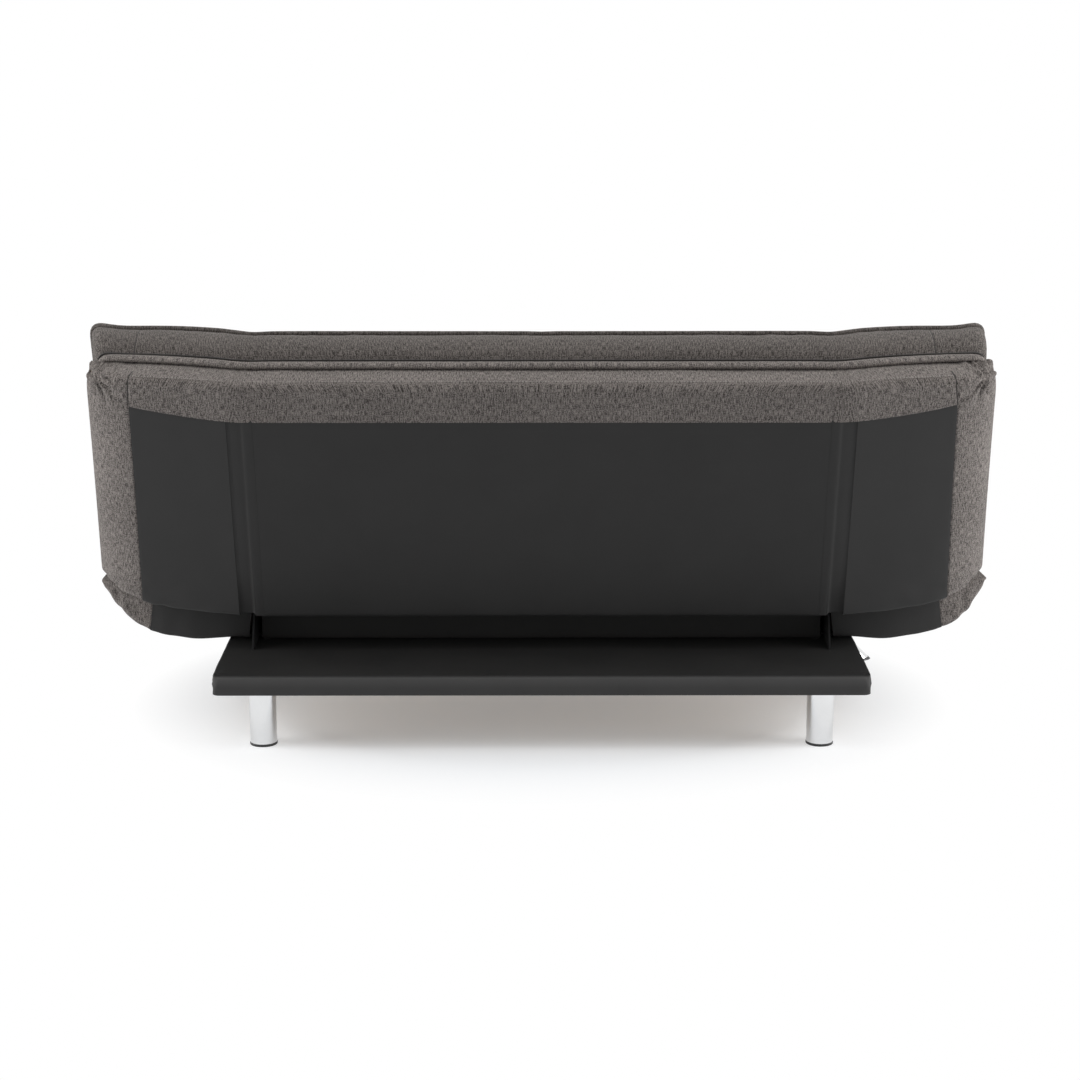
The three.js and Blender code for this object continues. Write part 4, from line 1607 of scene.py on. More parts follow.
@dataclass
class Box:
    """One of a section's three boxes: its fabric cover and the lining that closes it."""

    shape: BoxShape
    finishes: Finishes
    side: Side | None
    seed: float
    centre_columns: int = 45
    wing_columns: int = 17
    lining_rows: int = 27
    band_rows: int = 12
    edge_levels: tuple[float, ...] = (0.0, 0.35, 0.7, 1.0)
    wall_levels: tuple[float, ...] = (0.25, 0.5, 0.75)
    top_levels: tuple[float, ...] = (0.0, 0.5, 1.0)
    top_edge: float = 3 * MM
    belly_along: float = 200 * MM
    corner_tuck: float = 9 * MM
    seam_radius: float = 1.3 * MM
    is_wing: bool = field(init=False)
    columns: list[tuple[int, float]] = field(init=False)
    rows: list[tuple[int, float]] = field(init=False)
    seam_column: int = field(init=False)
    seam_row: int = field(init=False)

    def __post_init__(self) -> None:
        """Lists the columns and rows of the grid."""
        self.is_wing = self.side is not None
        if self.is_wing:
            inner = np.concatenate((np.linspace(0, 0.96, self.wing_columns), [0.987, 1.0]))
            outer = np.concatenate(([0.025], np.linspace(0.08, 1, self.wing_columns)))
        else:
            inner, outer = np.linspace(0, 1, self.centre_columns), np.array([])
        self.columns = [(0, share) for share in inner] + [(1, share) for share in outer]
        lining = np.concatenate((np.linspace(0, 0.975, self.lining_rows), [0.991, 1.0]))
        band = np.linspace(0, 1, self.band_rows + 1)[1:]
        self.rows = [(0, share) for share in lining] + [(1, share) for share in band]
        self.seam_column = len(inner) - 1
        self.seam_row = len(lining) - 1

    @property
    def piece_name(self) -> str:
        """The start of the box's piece names, the same as the CAD's."""
        section = self.shape.section
        return section.wing(self.side) if self.side else section.name

    def spot(self, column: int, row: int, inset: float) -> tuple[float, float]:
        """The plan position of a grid place.

        Args:
            column: The place's column.
            row: Its row.
            inset: How far the outer faces are moved in.

        Returns:
            Across and along.
        """
        shape, section = self.shape, self.shape.section
        part, along_share = self.rows[row]
        region, share = self.columns[column]
        if not self.is_wing:
            half = section.hinge_line - shape.groove / 2 - inset
            near = shape.near(0.0) + inset
            across = -half + 2 * half * share
            beyond = 0.0
        else:
            row_share = row / (len(self.rows) - 1)
            nominal = shape.junction_gap + (section.length - shape.junction_gap) * row_share
            side_seam = shape.side_seam(nominal, self.side)
            if region == 0:
                start = shape.groove / 2 + inset
                beyond = start + (side_seam - start) * share
            else:
                first = math.asin(min((side_seam - shape.heel_start) / shape.heel_reach, 1.0))
                turn = first + (shape.heel_turn - first) * share
                beyond = shape.heel_start + shape.heel_reach * math.sin(turn) - inset * share
                beyond += shape.flare(nominal, self.side, share)
            near = shape.near(beyond) + inset
            across = section.hinge_line + beyond
        rise = shape.seam_rise * min(max(beyond / shape.seam_rise_reach, 0.0), 1.0) ** 2
        seam = section.length - shape.free_band + rise
        if part == 0:
            along = near + (seam - near) * along_share
        else:
            along = seam + (section.length - section.fall(across) - inset - seam) * along_share
        return across, along

    def low(self, across: float, along: float) -> float:
        """The underside's height.

        Args:
            across: Distance from the sofa bed's middle.
            along: Distance from the junction.

        Returns:
            The height, below zero.
        """
        shape = self.shape
        if not self.is_wing:
            return -shape.depth
        beyond = across - shape.section.hinge_line
        if beyond > shape.heel_start:
            width = shape.reach - shape.heel_start
            share = (beyond - shape.heel_start) / (width + shape.flare(along, self.side, 1.0))
            beyond -= shape.flare(along, self.side, min(share, 1.0))
        full = shape.low(beyond)
        belly = full - shape.low(beyond, 0.0)
        hollow = math.exp(-((along / self.belly_along) ** 4))
        return min(full - belly * (1 - hollow), -shape.side_flat)

    def ring(self, low: float, level: int) -> tuple[float, float]:
        """A wall level's place: round below, upright, and round at the top.

        Args:
            low: The underside's height there.
            level: The level, from below.

        Returns:
            Its inset and its height.
        """
        radius = self.shape.rounding(low, self.shape.edge)
        small = min(self.top_edge, radius * 0.6)
        share = (*self.edge_levels, *self.wall_levels, *self.top_levels)[level]
        turn = share * math.pi / 2
        if level < len(self.edge_levels):
            return radius * (1 - math.sin(turn)), low + radius * (1 - math.cos(turn))
        if level < self.level_count - len(self.top_levels):
            return 0.0, low + radius + (-small - low - radius) * share
        return small * (1 - math.cos(turn)), -small * (1 - math.sin(turn))

    @property
    def level_count(self) -> int:
        """How many wall levels there are."""
        return len(self.edge_levels) + len(self.wall_levels) + len(self.top_levels)

    def gather(self, across: float, along: float, level: int) -> Place:
        """The gathered fabric that stands up round the outer free corner.

        Args:
            across: Distance from the sofa bed's middle.
            along: Distance from the junction.
            level: The wall level, from below.

        Returns:
            How far it is moved across, along and up.
        """
        if not self.is_wing:
            return 0.0, 0.0, 0.0
        shape, section = self.shape, self.shape.section
        out_gap = section.hinge_line + shape.reach - across
        far_gap = section.length - section.fall(across) - along
        near = bell(out_gap / (50 * MM), far_gap / (45 * MM))
        tuck = self.corner_tuck * bell(out_gap / (30 * MM), far_gap / (30 * MM))
        share = level / (self.level_count - 1)
        run = out_gap - far_gap
        pleat = math.sin(run / (3.6 * MM) + self.seed) * 0.7 + math.sin(run / (7 * MM) + 1.3) * 0.4
        out = near * 0.8 * pleat * MM * share - tuck
        far = near * (12.0 + 1.4 * pleat) * MM * share**0.5 - tuck
        lift = near * (7.0 + 2.0 * pleat) * MM * share**3
        return out, far, lift

    def point(self, i: int, j: int, k: int) -> Place:
        """A vertex of the cover."""
        across, along = self.spot(i, j, 0.0)
        inset, height = self.ring(self.low(across, along), k)
        across, along = self.spot(i, j, inset)
        last_column, last_row = len(self.columns) - 1, len(self.rows) - 1
        inside = 0 < i < last_column and 0 < j < last_row
        if k == 0:
            height = self.low(across, along)
        lined = (i < self.seam_column or not self.is_wing) and j < self.seam_row
        if lined and k <= 3 and (inside or j == 0 or k == 0):
            height += self.shape.sunk
        if lined and j == 0:
            along += self.shape.sunk
        if self.is_wing and i == self.seam_column and j > self.seam_row:
            if k == 0:
                height += self.shape.seam_depth
            elif k <= 2 and j == last_row:
                along -= self.shape.seam_depth
        if k == self.level_count - 1 and inside:
            height = -0.2 * MM
        if not inside:
            out, far, lift = self.gather(across, along, k)
            across, along, height = across + out, along + far, height + lift
        return across, along, height

    def build(self) -> None:
        """Builds the cover and the lining."""
        grid = GridBlock(len(self.columns), len(self.rows), self.level_count, self.point)
        cover, numbers = grid.build(f"{self.piece_name}_box_cover")
        apply_modifier(cover, "SUBSURF", levels=1, render_levels=1)
        self.wrinkle(cover)
        if self.is_wing:
            self.seam_cord(cover, numbers)
        self.finish(cover, self.finishes.fabric, "cover_fabric", f"{self.piece_name}_cover")
        lining = self.lining()
        self.finish(lining, self.finishes.lining, "lining_cloth", f"{self.piece_name}_lining")
        log.info("%s and its lining, %d faces", cover.name, len(cover.data.polygons))

    def seam_cord(self, cover: Piece, numbers: dict[tuple[int, int, int], int]) -> None:
        """Paints the shade in the side seam with a dark cord, from the lining's corner over the edge to
        the top.

        Args:
            cover: The cover, flat.
            numbers: Its vertex at each column, row and level.
        """
        column, last_row = self.seam_column, len(self.rows) - 1
        picked = [numbers[(column, j, 0)] for j in range(self.seam_row, last_row + 1)]
        picked += [numbers[(column, last_row, k)] for k in range(1, 5)]
        points = coordinates(cover)[picked]
        cord = tube(f"{self.piece_name}_side_seam", resampled(points, 3 * MM), self.seam_radius, 8)
        self.shape.section.place(cord, self.side, 1.0)
        smooth(cord, 60)
        dress(cord, self.finishes.seam)
        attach(cord, self.piece_name)

    def finish(self, piece: Piece, material: Material, slot: str, node: str) -> None:
        """Lays a piece in place and fits it to its body.

        Args:
            piece: The piece, flat.
            material: Its material.
            slot: Not used.
            node: The CAD node that it replaces.
        """
        section = self.shape.section
        section.place(piece, self.side or Side.LEFT, 1.0 if self.is_wing else 0.0)
        smooth(piece, 48)
        dress(piece, material)
        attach(piece, self.piece_name)
        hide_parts(node)

    def wrinkle(self, piece: Piece) -> None:
        """Makes the cloth a little uneven, with tight creases at the corners."""
        shape, section = self.shape, self.shape.section
        flat = coordinates(piece)
        direction = normals(piece)
        across, along, up = flat.T
        fall = np.array([section.fall(a) for a in across])
        soft = rumple(flat, 0.11, self.seed) * 0.9 * MM + rumple(flat, 0.03, self.seed + 2) * 0.3 * MM
        if self.is_wing:
            out_gap = section.hinge_line + shape.reach - across
            near_gap = along - shape.near(200 * MM)
            near_corner = bell(out_gap / 0.13, near_gap / 0.09)
            turn = np.arctan2(along + 0.02, out_gap + 0.03)
            fan = np.sin(turn * 15 + rumple(flat, 0.05, self.seed + 5) * 2.5)
            soft = soft + near_corner * fan * 1.9 * MM
            free_gap = section.length - fall - 12 * MM - along
            corner_gap = np.hypot(out_gap - 46 * MM, free_gap)
            spokes = np.arctan2(free_gap, out_gap - 46 * MM)
            radial = np.sin(spokes * 9 + rumple(flat, 0.04, self.seed + 6) * 2.0)
            pinch = np.abs(np.sin(spokes * 5 + rumple(flat, 0.03, self.seed + 8) * 1.5))
            close = bell(corner_gap / 0.055)
            soft = soft + close * (radial * 2.6 - (1 - pinch) ** 3 * 6.5) * MM
            if section.name == "seat" and self.side is Side.LEFT:
                by_junction = along < shape.near(shape.reach) + 60 * MM
                soft = soft + self.fold_line(across - section.hinge_line, up) * by_junction
        open_share = smoothstep((along - (section.length - shape.free_band)) / (12 * MM))
        if self.is_wing:
            seam = np.array([section.hinge_line + shape.side_seam(a, self.side) for a in along])
            open_share = np.maximum(open_share, smoothstep((across - seam - 2 * MM) / (10 * MM)))
        outside = (up < -shape.edge) | (along > section.length - fall - 1 * MM)
        clear = smoothstep((np.abs(np.abs(across) - section.hinge_line) - 36 * MM) / (22 * MM))
        move_to(piece, flat + direction * (soft * outside * clear * open_share)[:, None])

    @staticmethod
    def fold_line(beyond: np.ndarray, up: np.ndarray) -> np.ndarray:
        """The fold under the seat wing's turned-in corner.

        Args:
            beyond: The points' distances past the hinge line.
            up: Their heights.

        Returns:
            How far the cloth stands out at each.
        """
        start, end = np.array([340 * MM, -2 * MM]), np.array([246 * MM, -47 * MM])
        run = end - start
        share = np.clip(((beyond - start[0]) * run[0] + (up - start[1]) * run[1]) / (run @ run), 0, 1)
        aside = (up - start[1] - share * run[1]) * 0.9
        gap = np.hypot(beyond - start[0] - share * run[0], up - start[1] - share * run[1])
        above = smoothstep(aside / (3 * MM) + 0.5) * np.exp(-gap / (14 * MM))
        return above * 3.2 * MM - bell(gap / (2.6 * MM)) * 2.6 * MM

    def lining(self) -> Piece:
        """The lining: down the junction side, round its edge and along the underside."""
        shape = self.shape
        proud, seam_proud, top, wall_rows = -1.0 * MM, 1.2 * MM, -6 * MM, 4
        turns = (0.25, 0.5, 0.75, 1.0)
        head_rows = wall_rows + len(turns)

        def point(i: int, j: int) -> Place:
            """A vertex of the lining sheet."""
            across, along = self.spot(i, 0, -proud)
            low = self.low(across, along)
            radius = shape.rounding(low, shape.junction_round)
            if j < wall_rows:
                return across, along, top + (low + radius - top) * (j / wall_rows)
            if j < head_rows:
                turn = turns[j - wall_rows] * math.pi / 2
                across, _ = self.spot(i, 0, 0.0)
                height = low + radius * (1 - math.sin(turn)) - proud
                return across, along + radius * (1 - math.cos(turn)), height
            row = j - head_rows + 1
            across, along = self.spot(i, row, 0.0)
            height = self.low(across, along) - proud
            if row == self.seam_row or (self.is_wing and i == self.seam_column):
                height += seam_proud
            return across, along, height

        rows, columns = head_rows + self.seam_row, self.seam_column + 1
        piece = sheet_on_grid(f"{self.piece_name}_box_lining", columns, rows, point)
        piece.data.flip_normals()
        apply_modifier(piece, "SUBSURF", levels=1, render_levels=1)
        self.sag(piece)
        apply_modifier(piece, "SOLIDIFY", thickness=1.4 * MM, offset=-1)
        return piece

    def sag(self, piece: Piece) -> None:
        """Lets the lining hang a little slack between the rails, with drag lines at the corners."""
        shape, section = self.shape, self.shape.section
        flat = coordinates(piece)
        direction = normals(piece)
        across, along = flat[:, 0], flat[:, 1]
        soft = rumple(flat, 0.2, self.seed + 11) * 0.7 * MM
        soft = soft + rumple(flat, 0.05, self.seed + 12) * 0.25 * MM
        if self.is_wing:
            out_gap = section.hinge_line + shape.side_seam(0.0, self.side) - across
            near_corner = bell(out_gap / 0.16, along / 0.1)
            slant = along * 0.9 - out_gap * 0.28
            folds = np.sin(slant / 0.0085 + rumple(flat, 0.06, self.seed + 13) * 3.0)
            soft = soft + near_corner * folds * (0.7 if section.name == "seat" else 1.5) * MM
        under = smoothstep((section.length - shape.free_band - along) / 0.02)
        outer = 1.0
        if self.is_wing:
            seam = np.array([shape.side_seam(a, self.side) for a in along])
            outer = smoothstep((section.hinge_line + seam - across) / 0.02)
        move_to(piece, flat + direction * (soft * under * outer)[:, None])


@dataclass
class HingeCloth:
    """The lining and the fabric that cross from a centre box to a wing's box."""

    shape: BoxShape
    side: Side
    finishes: Finishes
    seed: float
    lap: float = 16 * MM
    centre_lap: float = 20 * MM
    recess: float = 4 * MM

    def build(self) -> None:
        """Builds both strips."""
        section, shape = self.shape.section, self.shape
        seam = section.length - shape.free_band
        turn = math.radians(section.wing_angle)
        after = shape.groove / 2 * math.cos(turn) + shape.depth * math.sin(turn)
        before = shape.groove / 2
        low_line = [(shape.junction_gap + 8 * MM, -shape.depth)]
        low_line += [(place, -shape.depth) for place in np.linspace(0.03, seam + 4 * MM, 40)]
        cloth = self.finishes.lining
        self.strip("groove_lining", low_line, self.recess, cloth, before, after)
        edge, low = shape.edge, -shape.depth
        band = [(place, low) for place in np.linspace(seam - 0.5 * MM, section.length - edge, 9)]
        for share in (0.33, 0.66, 1.0):
            turn = share * math.pi / 2
            along = section.length - edge * (1 - math.sin(turn))
            band.append((along, low + edge * (1 - math.cos(turn))))
        band += [(section.length, height) for height in np.linspace(low + 2 * edge, -2 * MM, 7)]
        cloth = self.finishes.fabric
        self.strip("hinge_band", band, 0.0, cloth, before, after)

    def strip(
        self,
        label: str,
        line: list[tuple[float, float]],
        recess: float,
        material: Material,
        before: float,
        after: float,
    ) -> None:
        """Builds one strip across the groove.

        Args:
            label: The end of its name.
            line: Along and height of its centre line, from the junction on.
            recess: How deep it sinks between the boxes.
            material: Its material.
            before: Where its bend starts, before the hinge line.
            after: Where its bend ends, past the hinge line.
        """
        section, shape = self.shape.section, self.shape
        half = shape.groove / 2
        laps = np.array([1.0, 0.5]) * self.lap / half
        inner = np.array([1.0, 0.96, 0.5]) * self.centre_lap / half if recess else laps
        outer = np.array([4 * MM]) / half if recess else laps[::-1]
        shares = np.concatenate((-1.0 - inner, np.linspace(-1, 1, 9), 1.0 + outer))
        path = np.array(line)
        heading = np.gradient(path, axis=0)
        heading /= np.linalg.norm(heading, axis=1)[:, None]
        inward = np.column_stack((-heading[:, 1], heading[:, 0]))

        def sink_at(i: int, place: float) -> float:
            """How deep a column of the strip lies, at a distance from the junction."""
            share = shares[i]
            in_groove = abs(share) <= 1
            if not recess:
                ridge = 1.3 * MM * bell(share / 0.3)
                tucked = 0.9 * MM if abs(share) > 1.9 else 0.0
                return (-0.5 * MM if in_groove else -0.7 * MM) + ridge + tucked
            if share <= -1:
                return 1.8 * MM if i == 0 else 0.3 * MM
            deep = recess * (1 + 2 * bell(place / (80 * MM)))
            sink = max(deep * (1 - abs(share) ** 4) if in_groove else 2.2 * MM, 1.4 * MM)
            return sink + (1.0 * MM if share == 1.0 else 0.0)

        def point(i: int, j: int) -> Place:
            """A vertex of the strip."""
            along, height = path[j] + inward[j] * sink_at(i, path[j, 0])
            return section.hinge_line + shares[i] * half, along, height

        name = f"{section.name}_{self.side.label}_{label}"
        piece = sheet_on_grid(name, len(shares), len(path), point)
        piece.data.flip_normals()
        apply_modifier(piece, "SUBSURF", levels=1, render_levels=1)
        apply_modifier(piece, "SOLIDIFY", thickness=1.2 * MM, offset=-1)
        flat = coordinates(piece)
        share = section.bend_share(flat[:, 0] - section.hinge_line, flat[:, 2], before, after)
        move_to(piece, section.lay(flat, self.side, share))
        if self.side.value * section.facing < 0:
            piece.data.flip_normals()
        self.stretch_map(piece, half, inner[0] * half, (before + after) / (2 * half))
        smooth(piece, 50)
        dress(piece, material)
        section.ride_bent(piece, self.side, before, after)

    @staticmethod
    def stretch_map(piece: Piece, half: float, lap: float, ratio: float) -> None:
        """Widens the map where the strip spans the opened groove, so that the weave keeps its size.

        Args:
            piece: The strip.
            half: Half of the groove's width.
            lap: How far the strip reaches past it on the centre's side.
            ratio: How much wider the groove is when it is open.
        """
        layer = piece.data.uv_layers["cloth"]
        values = np.empty(2 * len(piece.data.loops), dtype=np.float32)
        layer.data.foreach_get("uv", values)
        values = values.reshape(-1, 2)
        aside = values[:, 0] - half - lap
        inside = np.minimum(np.abs(aside), half)
        values[:, 0] = np.sign(aside) * (np.abs(aside) + inside * (ratio - 1))
        layer.data.foreach_set("uv", values.ravel())


@dataclass
class Topstitching:
    """The rows of stitches along the edges of a section's boxes."""

    shape: BoxShape
    finishes: Finishes
    pitch: float = 6.5 * MM
    radius: float = 0.85 * MM
    proud: float = 0.2 * MM
    margin: float = 4 * MM

    def build(self) -> None:
        """Sews the free edges of the centre and of both wings, up to the wings' side seams."""
        section, shape = self.shape.section, self.shape
        half = section.hinge_line - shape.groove / 2
        edge = section.length + self.proud
        height = -shape.depth + shape.edge
        centre = np.array([(x, edge, height) for x in (-half + self.margin, half - self.margin)])
        self.sew(f"{section.name}_edge_stitching", centre, Side.LEFT, 0.0, section.name)
        for side in Side:
            wing = section.wing(side)
            last = shape.side_seam(section.length, side) - self.margin
            line = []
            for beyond in np.linspace(shape.groove / 2 + self.margin, last, 40):
                low, place = shape.low(beyond), section.hinge_line + beyond
                along = section.length - section.fall(place) + self.proud
                line.append((place, along, low + shape.rounding(low, shape.edge)))
            self.sew(f"{wing}_edge_stitching", np.array(line), side, 1.0, wing)

    def sew(self, name: str, line: np.ndarray, side: Side, share: float, body: str) -> None:
        """Makes one row of stitches.

        Args:
            name: The piece's name.
            line: The line that is sewn, flat.
            side: The side on which across is counted.
            share: 0 on the centre, 1 on a wing.
            body: What it rides on.
        """
        piece = stitches(name, line, self.pitch, self.radius)
        self.shape.section.place(piece, side, share)
        smooth(piece, 60)
        dress(piece, self.finishes.thread)
        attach(piece, body)


# Platform and legs


@dataclass
class PlatformCloth:
    """The cloth drawn over the platform, with soft corners and its hem turned under the rails."""

    finishes: Finishes
    corner: float = 16 * MM
    edge: float = 6 * MM
    wall: float = 1.2 * MM
    hem: float = 24 * MM
    droop: float = 3 * MM
    slack: float = 5 * MM
    steps: Place = (24 * MM, 24 * MM, 9 * MM)

    def build(self) -> None:
        """Builds the cloth from a box that is rounded, opened below and given a wall."""
        low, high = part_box("platform_cover")
        low, high = Vector(low), Vector(high)
        low.z -= self.droop
        high.x += self.slack
        low.x -= self.slack
        deselect()
        bpy.ops.mesh.primitive_cube_add(size=1, location=(low + high) / 2, scale=high - low)
        cloth = bpy.context.object
        cloth.name = "platform_cloth"
        settle(cloth)
        self.round_corners(cloth)
        self.open_below(cloth)
        self.subdivide_evenly(cloth, low, high)
        self.rumple_cloth(cloth, low, high)
        apply_modifier(cloth, "SOLIDIFY", thickness=self.wall, offset=-1)
        self.map_cloth(cloth)
        smooth(cloth, 50)
        dress(cloth, self.finishes.platform)
        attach(cloth, "base")
        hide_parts("platform_cover")
        log.info("%s: %d faces", cloth.name, len(cloth.data.polygons))

    def round_corners(self, cloth: Piece) -> None:
        """Bevels the upright edges, then the ones along the top."""
        with editing(cloth):
            pick(cloth, "EDGE", lambda edge: climb(edge) > 1 * MM)
            bpy.ops.mesh.bevel(offset=self.corner, segments=8, profile=0.5)
            top = max(v.co.z for v in bmesh.from_edit_mesh(cloth.data).verts)
            pick(cloth, "EDGE", lambda edge: min(v.co.z for v in edge.verts) > top - 1 * MM)
            bpy.ops.mesh.bevel(offset=self.edge, segments=4, profile=0.5)

    def open_below(self, cloth: Piece) -> None:
        """Insets the underside, which leaves the hem, and opens it inside that."""
        with editing(cloth):
            pick(cloth, "FACE", lambda face: face.normal.z < -0.9)
            bpy.ops.mesh.inset(thickness=self.hem, depth=0)
            bpy.ops.mesh.delete(type="FACE")

    def subdivide_evenly(self, cloth: Piece, low: Vector, high: Vector) -> None:
        """Cuts the cloth along all three axes, so that it can drape.

        Args:
            cloth: The cloth.
            low: Its lower corner.
            high: Its upper corner.
        """
        with editing(cloth):
            for axis, step in enumerate(self.steps):
                count = int((high[axis] - low[axis]) / step)
                across = Vector([float(axis == other) for other in range(3)])
                for k in range(1, count):
                    place = across * (low[axis] + (high[axis] - low[axis]) * k / count)
                    bpy.ops.mesh.select_all(action="SELECT")
                    bpy.ops.mesh.bisect(plane_co=place, plane_no=across)
            bpy.ops.mesh.select_all(action="SELECT")
            bpy.ops.mesh.remove_doubles(threshold=0.2 * MM)
            bpy.ops.mesh.normals_make_consistent(inside=False)

    def rumple_cloth(self, cloth: Piece, low: Vector, high: Vector) -> None:
        """Pulls the cloth a little uneven, most along its edges and at its corners.

        Args:
            cloth: The cloth.
            low: Its lower corner.
            high: Its upper corner.
        """
        points = coordinates(cloth)
        direction = normals(cloth)
        x, y, z = points.T
        gap_x = np.minimum(x - low.x, high.x - x)
        gap_y = np.minimum(y - low.y, high.y - y)
        corner = bell(gap_x / 0.06, gap_y / 0.06)
        rim = np.exp(-np.minimum(gap_x, gap_y) / 0.025)
        soft = rumple(points, 0.22, 21.0) * 1.3 * MM + rumple(points, 0.06, 22.0) * 0.8 * MM * rim
        turn = np.arctan2(gap_y, gap_x)
        fan = np.sin(turn * 14 + z * 220) * corner * 1.5 * MM
        above = z > low.z + 1 * MM
        move_to(cloth, points + direction * ((soft + fan) * above)[:, None])

    def map_cloth(self, cloth: Piece) -> None:
        """Gives the cloth a map in metres, by the way each face looks."""
        with editing(cloth):
            bpy.ops.uv.cube_project(cube_size=1.0, correct_aspect=False, scale_to_bounds=False)


@dataclass
class Leg:
    """A chrome tube with its plate, screws and glide."""

    row: str
    side: Side
    finishes: Finishes
    radius: float = 28 * MM
    glide_height: float = 5 * MM
    plate_half: float = 40 * MM
    plate_thickness: float = 4 * MM
    plate_corner: float = 9 * MM
    glide_proud: float = 0.6 * MM
    screw_inset: float = 8 * MM
    screw_radius: float = 4 * MM
    screw_flatness: float = 0.55
    rim: float = 0.9 * MM
    lean: float = 0.0
    segments: int = 72

    @property
    def label(self) -> str:
        """The leg's word in piece names."""
        return f"{self.row}_{self.side.label}"

    def build(self) -> None:
        """Builds the leg over its CAD nodes."""
        top = Vector(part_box(f"{self.label}_leg")[1]).z
        glide_low, glide_high = (Vector(corner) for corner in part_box(f"{self.label}_glide"))
        foot = (glide_low + glide_high) / 2
        foot.z = 0.0
        turn = math.radians(self.lean) * self.side.value
        if self.lean:
            inner = glide_low.x if self.side is Side.RIGHT else glide_high.x
            foot.x = inner - self.side.value * self.radius / math.cos(turn)
        under = top - self.plate_thickness
        head = Vector((foot.x - math.tan(turn) * under, foot.y, under))
        name, floor = f"{self.label}_chrome_tube", self.glide_height
        leg = self.cylinder(name, foot, head, self.radius, floor, under)
        dress(leg, self.finishes.chrome)
        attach(leg, "base")
        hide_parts(f"{self.label}_leg")
        plate = self.plate(head)
        dress(plate, self.finishes.chrome)
        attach(plate, "base")
        name, around = f"{self.label}_glide_foot", self.radius + self.glide_proud
        ring = self.cylinder(name, foot, head, around, 0.0, floor)
        dress(ring, self.finishes.plastic)
        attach(ring, "base")
        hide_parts(f"{self.label}_glide")
        self.screws(head)

    def cylinder(
        self, name: str, foot: Vector, head: Vector, radius: float, low: float, high: float
    ) -> Piece:
        """A bar along the leg, cut level at both ends, with its rims eased.

        Args:
            name: The piece's name.
            foot: The leg's axis at the floor.
            head: The leg's axis under the plate.
            radius: The bar's radius.
            low: Height of its lower end.
            high: Height of its upper end.

        Returns:
            The object.
        """
        axis = head - foot
        spare = 3 * radius
        deselect()
        bpy.ops.mesh.primitive_cylinder_add(
            vertices=self.segments,
            radius=radius,
            depth=axis.length + 2 * spare,
            location=(foot + head) / 2,
            rotation=(0.0, axis.angle(Vector((0, 0, 1))) * (1 if axis.x > 0 else -1), 0.0),
        )
        bar = bpy.context.object
        bar.name = name
        settle(bar)
        with editing(bar):
            for height, up in ((low, -1), (high, 1)):
                cut_away((0, 0, height), (0, 0, up))
            pick(bar, "FACE", lambda face: abs(face.normal.z) > 0.95 and len(face.verts) > 8)
            bpy.ops.mesh.region_to_loop()
            bpy.ops.mesh.bevel(offset=self.rim, segments=3, profile=0.5)
        smooth(bar, 32)
        return bar

    def plate(self, head: Vector) -> Piece:
        """The square plate on the leg's head, which is screwed under the platform."""
        deselect()
        size, thickness = 2 * self.plate_half, self.plate_thickness
        place = head + Vector((0, 0, thickness / 2))
        bpy.ops.mesh.primitive_cube_add(size=1, location=place, scale=(size, size, thickness))
        plate = bpy.context.object
        plate.name = f"{self.label}_leg_plate"
        settle(plate)
        with editing(plate):
            pick(plate, "EDGE", lambda edge: climb(edge) > 1 * MM)
            bpy.ops.mesh.bevel(offset=self.plate_corner, segments=6, profile=0.5)
            pick(plate, "EDGE", lambda edge: climb(edge) < 0.5 * MM)
            bpy.ops.mesh.bevel(offset=0.7 * MM, segments=2, profile=0.5)
        smooth(plate, 32)
        return plate

    def screws(self, head: Vector) -> None:
        """Four dome-headed screws through the plate's corners."""
        reach = self.plate_half - self.screw_inset
        screws = []
        for dx in (-reach, reach):
            for dy in (-reach, reach):
                deselect()
                place = head + Vector((dx, dy, 0))
                bpy.ops.mesh.primitive_uv_sphere_add(
                    segments=20, ring_count=10, radius=self.screw_radius, location=place
                )
                screw = bpy.context.object
                settle(screw)
                with editing(screw):
                    cut_away(head + Vector((0, 0, 0.2 * MM)), (0, 0, 1))
                points = coordinates(screw)
                points[:, 2] = head.z + (points[:, 2] - head.z) * self.screw_flatness
                move_to(screw, points)
                screws.append(screw)
        deselect()
        for screw in screws:
            screw.select_set(True)
        bpy.context.view_layer.objects.active = screws[0]
        bpy.ops.object.join()
        joined = bpy.context.object
        joined.name = f"{self.label}_plate_screws"
        smooth(joined, 32)
        dress(joined, self.finishes.steel)
        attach(joined, "base")


